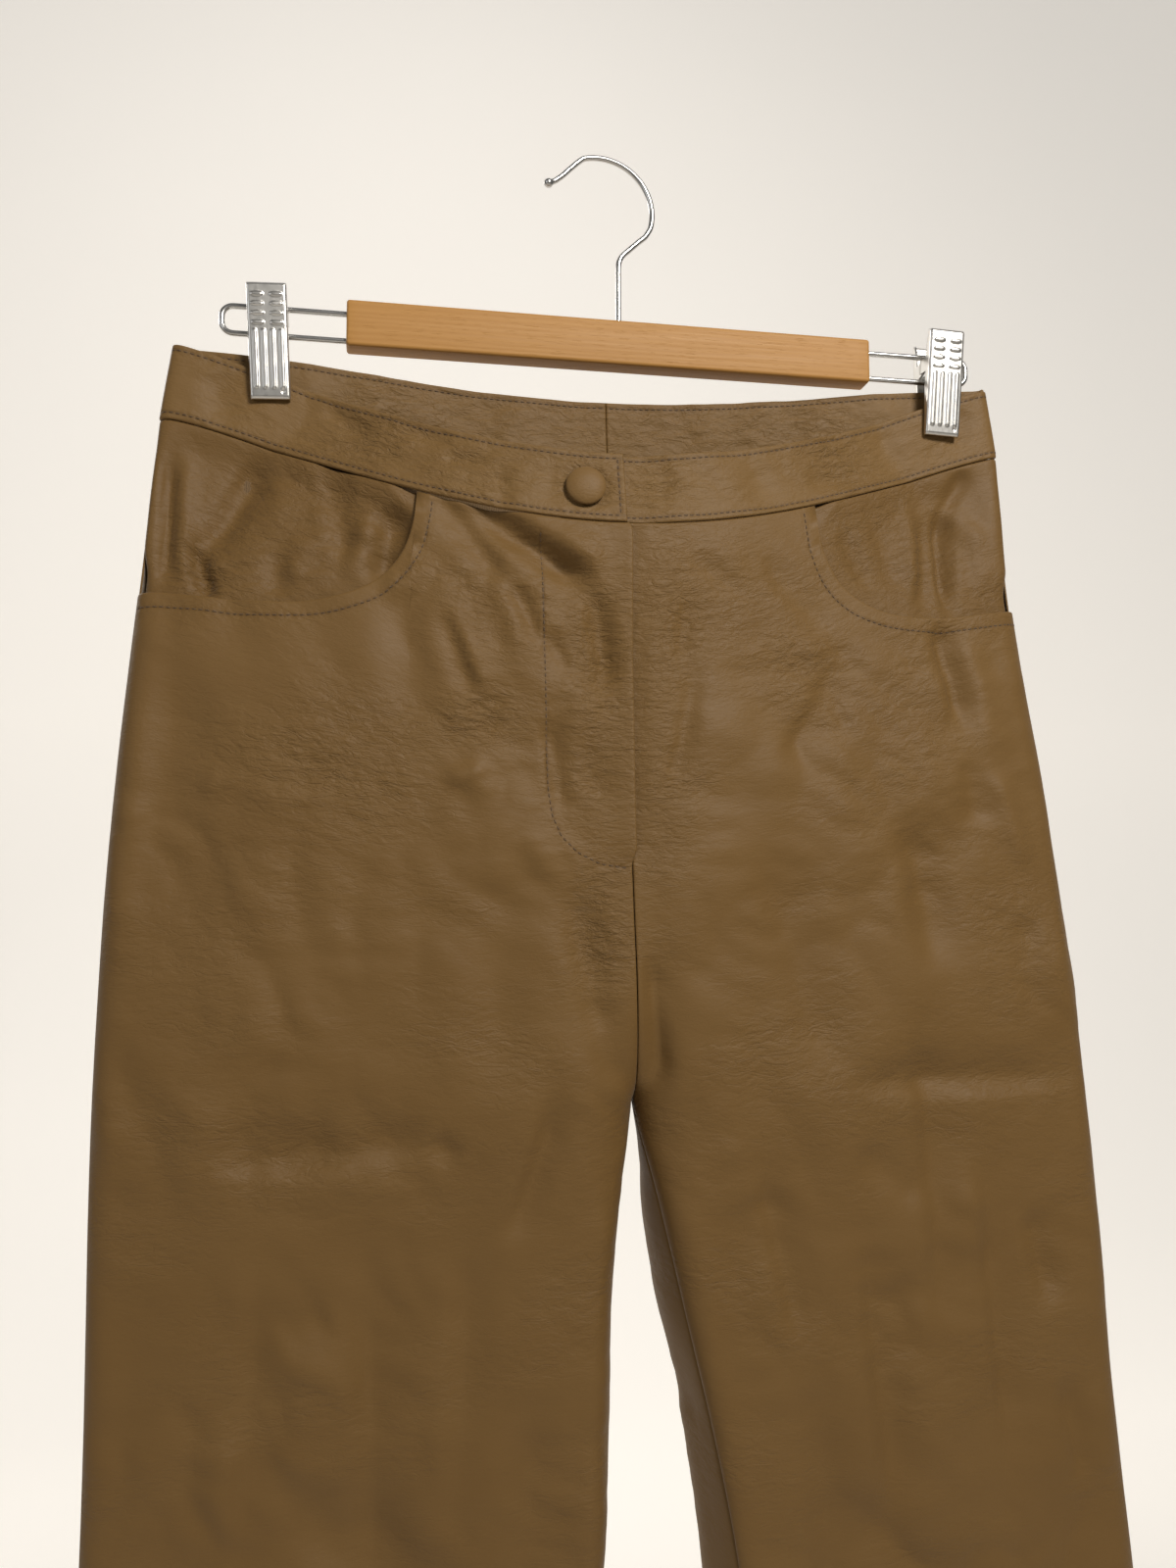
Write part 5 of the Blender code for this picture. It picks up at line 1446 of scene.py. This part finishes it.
END_STITCH = 3.0
for side, face, name in ((RIGHT, FRONT, "band_front_right"), (RIGHT, BACK, "band_back_right"),
                         (LEFT, BACK, "band_back_left")):
    across, below = np.meshgrid(spaced(BAND_SPAN, 116) / BAND_SPAN, BAND_LEVELS)
    flat = flat_place(side, face, across, below)
    width = np.interp(below, FORM_BELOW, WIDTH[side, face])
    end_line = np.array(((END_STITCH, TOP_STITCH), (END_STITCH, SEAM_STITCH)))
    extra = (end_line,) if face == FRONT else ()
    points, out, shift, wrinkled = band_surface(name, side, face, across, below)
    ends = np.minimum(across, 1 - across) * width
    piece = band(name, points, out, shift, wrinkled, flat, ends, band_rows(flat, extra))
    run = np.linspace(END_STITCH / 205 if face == FRONT else 0.006, 0.994, 200)
    lines = [(run, np.full(200, TOP_STITCH)), (run, np.full(200, SEAM_STITCH))]
    inside = face_of(band_surface, name, side, face, wall=BAND_WALL)
    rows = [stitch_row(name + "_inner_stitches", inside, lines, THREAD)]
    if face == FRONT:
        down = np.linspace(TOP_STITCH, SEAM_STITCH, 40)
        lines.append((END_STITCH / np.interp(down, FORM_BELOW, WIDTH[side, face]), down))
    outside = face_of(band_surface, name, side, face)
    rows.append(stitch_row(name + "_stitches", outside, lines, THREAD))

name = "band_front_left"
behind = spaced(UNDERLAP + 10.0, 30)[:-len(NEAR_EDGE)] - UNDERLAP
last = spaced(205.0, 114)[-len(NEAR_EDGE) - 1:]
shares = np.concatenate((behind, np.linspace(behind[-1], last[0], 103)[1:], last[1:]))
shares /= WIDTH[LEFT, FRONT][0]
along, below = np.meshgrid(shares, BAND_LEVELS)
width = np.interp(below, FORM_BELOW, WIDTH[LEFT, FRONT])
scale = np.where(along > 0, width / along.max(), WIDTH[LEFT, FRONT][0])
flat = np.stack((along * scale, below), axis=-1)
points, out, shift, wrinkled = underlap_surface(flat[..., 0], below)
ends = np.minimum(flat[..., 0] + UNDERLAP, width - flat[..., 0])
piece = band(name, points, out, shift, wrinkled, flat, ends, band_rows(flat))


def run_at(below):
    """A stitch line along the left front band, from the end of its underlap to the side seam."""
    width = float(np.interp(below, FORM_BELOW, WIDTH[LEFT, FRONT]))
    return np.linspace(-UNDERLAP + 2, width - 1.2, 220), np.full(220, below)


lines = [run_at(TOP_STITCH), run_at(SEAM_STITCH)]
inside = face_of(underlap_surface, wall=BAND_WALL)
rows = [stitch_row(name + "_stitches", face_of(underlap_surface), lines, THREAD),
        stitch_row(name + "_inner_stitches", inside, lines, THREAD)]

# --- Button ---------------------------------------------------------------------------------------
# An 18 mm self-covered button: a pressed shell with the same cloth drawn over it and gathered in
# behind, so its face is a low dome and its edge is round.  It is sewn through the band.

BUTTON_PROFILE = ((0, 4.15), (2.2, 4.08), (4.2, 3.82), (5.8, 3.4), (7.2, 2.85), (8.3, 2.25),
                  (8.85, 1.75), (9.15, 1.2), (9.15, 0.8), (8.85, 0.4), (8.2, 0.1), (6.0, 0.0), (0, 0.0))

LEATHER_BUTTON = leather("faux_leather_button", (0.172, 0.094, 0.027), (0.200, 0.115, 0.037),
                         grain=0.06, creases=0.12)
button = turned_mesh("button", BUTTON_PROFILE, 72, LEATHER_BUTTON)
button_flat = np.empty(len(button.data.vertices) * 3)
button.data.vertices.foreach_get("co", button_flat)
button_flat = button_flat.reshape(-1, 3)[:, :2] / MM
corner = np.empty(len(button.data.loops), int)
button.data.loops.foreach_get("vertex_index", corner)
button.data.uv_layers.new(name="cloth").data.foreach_set("uv", button_flat[corner].ravel())
for label, value in (("crumple", 0.15), ("stitch", NO_STITCH)):
    layer = button.data.attributes.new(label, "FLOAT", "POINT")
    layer.data.foreach_set("value", np.full(len(button.data.vertices), value))
seat_across = across_at(RIGHT, BUTTON_ACROSS, BUTTON_BELOW)
seat, seat_out = (on_form(RIGHT, FRONT, np.array(seat_across), np.array(BUTTON_BELOW)),
                  out_of_form(RIGHT, FRONT, np.array(seat_across), np.array(BUTTON_BELOW)))
seat = seat + seat_out * (BAND_WALL / 2 + 2 * SEAM_GAP - 0.35)
button.matrix_world = Matrix.Translation(Vector(seat) * MM) @ Vector(
    seat_out).to_track_quat("Z", "Y").to_matrix().to_4x4()
stands_for(button, "button")

# --- Floor, backdrop, light and camera ------------------------------------------------------------
# A plain pale floor and backdrop, soft studio light from the front, and the view of a person who
# stands close in front of the hanger and a little to its right.


def plain_sheet(name, profile, colour):
    """A sheet 12 m wide along a profile of (y, z) places."""
    mesh = bpy.data.meshes.new(name)
    corners = [(x, y, z) for y, z in profile for x in (-6, 6)]
    faces = [(2 * k, 2 * k + 1, 2 * k + 3, 2 * k + 2) for k in range(len(profile) - 1)]
    mesh.from_pydata(corners, [], faces)
    mesh.shade_smooth()
    material, tree, shader = blank_finish(name)
    where = add_node(tree, "ShaderNodeTexCoord").outputs["Object"]
    cloud = noise_at(tree, where, 3.0, 3.0)
    darker = tuple(c * 0.97 for c in colour)
    tree.links.new(mixed(tree, cloud, (*colour, 1), (*darker, 1)), shader.inputs["Base Color"])
    shader.inputs["Roughness"].default_value = 0.9
    place = add_node(tree, "ShaderNodeSeparateXYZ")
    tree.links.new(where, place.inputs[0])
    behind = maths(tree, "SMOOTH_MIN", maths(tree, "MAXIMUM", maths(
        tree, "SUBTRACT", place.outputs["Y"], 0.2), 0.0), 1.0, 0.4)
    tree.links.new(mixed(tree, behind, (0, 0, 0, 1), (1.0, 0.955, 0.885, 1)),
                   shader.inputs["Emission Color"])
    shader.inputs["Emission Strength"].default_value = 0.46
    mesh.materials.append(material)
    sheet = bpy.data.objects.new(name, mesh)
    bpy.context.scene.collection.objects.link(sheet)


FLOOR_Z = -1.30
BACKDROP_Y = 2.9
SWEEP = 1.4
profile = [(-6.0, FLOOR_Z)]
for step in range(25):
    turn = math.pi / 2 * step / 24
    profile.append((BACKDROP_Y - SWEEP * (1 - math.sin(turn)), FLOOR_Z + SWEEP * (1 - math.cos(turn))))
profile.append((BACKDROP_Y, 4.0))
plain_sheet("floor_and_backdrop", profile, (0.82, 0.785, 0.735))


def soft_light(name, place, target, size, power, colour):
    lamp = bpy.data.lights.new(name, "AREA")
    lamp.shape = "DISK"
    lamp.size = size
    lamp.energy = power
    lamp.color = colour
    light = bpy.data.objects.new(name, lamp)
    light.location = place
    aim = Vector(target) - Vector(place)
    light.rotation_euler = aim.to_track_quat("-Z", "Y").to_euler()
    bpy.context.scene.collection.objects.link(light)
    return light


soft_light("key", (0.42, -1.2, 0.52), (0, 0, -0.38), 0.45, 20.5, (1.0, 0.965, 0.91))
soft_light("fill", (-2.0, -1.6, 0.3), (0, 0, -0.5), 1.6, 7.0, (0.97, 0.98, 1.0))
soft_light("back_fill", (-1.5, 1.3, 0.7), (0, 0, -0.45), 0.6, 9.0, (1.0, 0.98, 0.95))
soft_light("backdrop_wash", (0, 1.0, 1.6), (0, BACKDROP_Y, -0.3), 2.6, 14.0, (1.0, 0.97, 0.94))
world = bpy.data.worlds.new("studio")
world.use_nodes = True
world.node_tree.nodes["Background"].inputs["Color"].default_value = (1.0, 0.975, 0.94, 1)
world.node_tree.nodes["Background"].inputs["Strength"].default_value = 0.13
bpy.context.scene.world = world
bpy.context.scene.view_settings.view_transform = "Standard"

lens = bpy.data.cameras.new("camera")
lens.lens = 28.125
lens.sensor_width = 36.0
lens.sensor_fit = "AUTO"
camera = bpy.data.objects.new("camera", lens)
camera.location = (-0.1070, -0.5675, -0.3532)
camera.rotation_euler = (math.radians(94.6), 0, math.radians(-9.6))
bpy.context.scene.collection.objects.link(camera)
bpy.context.scene.camera = camera
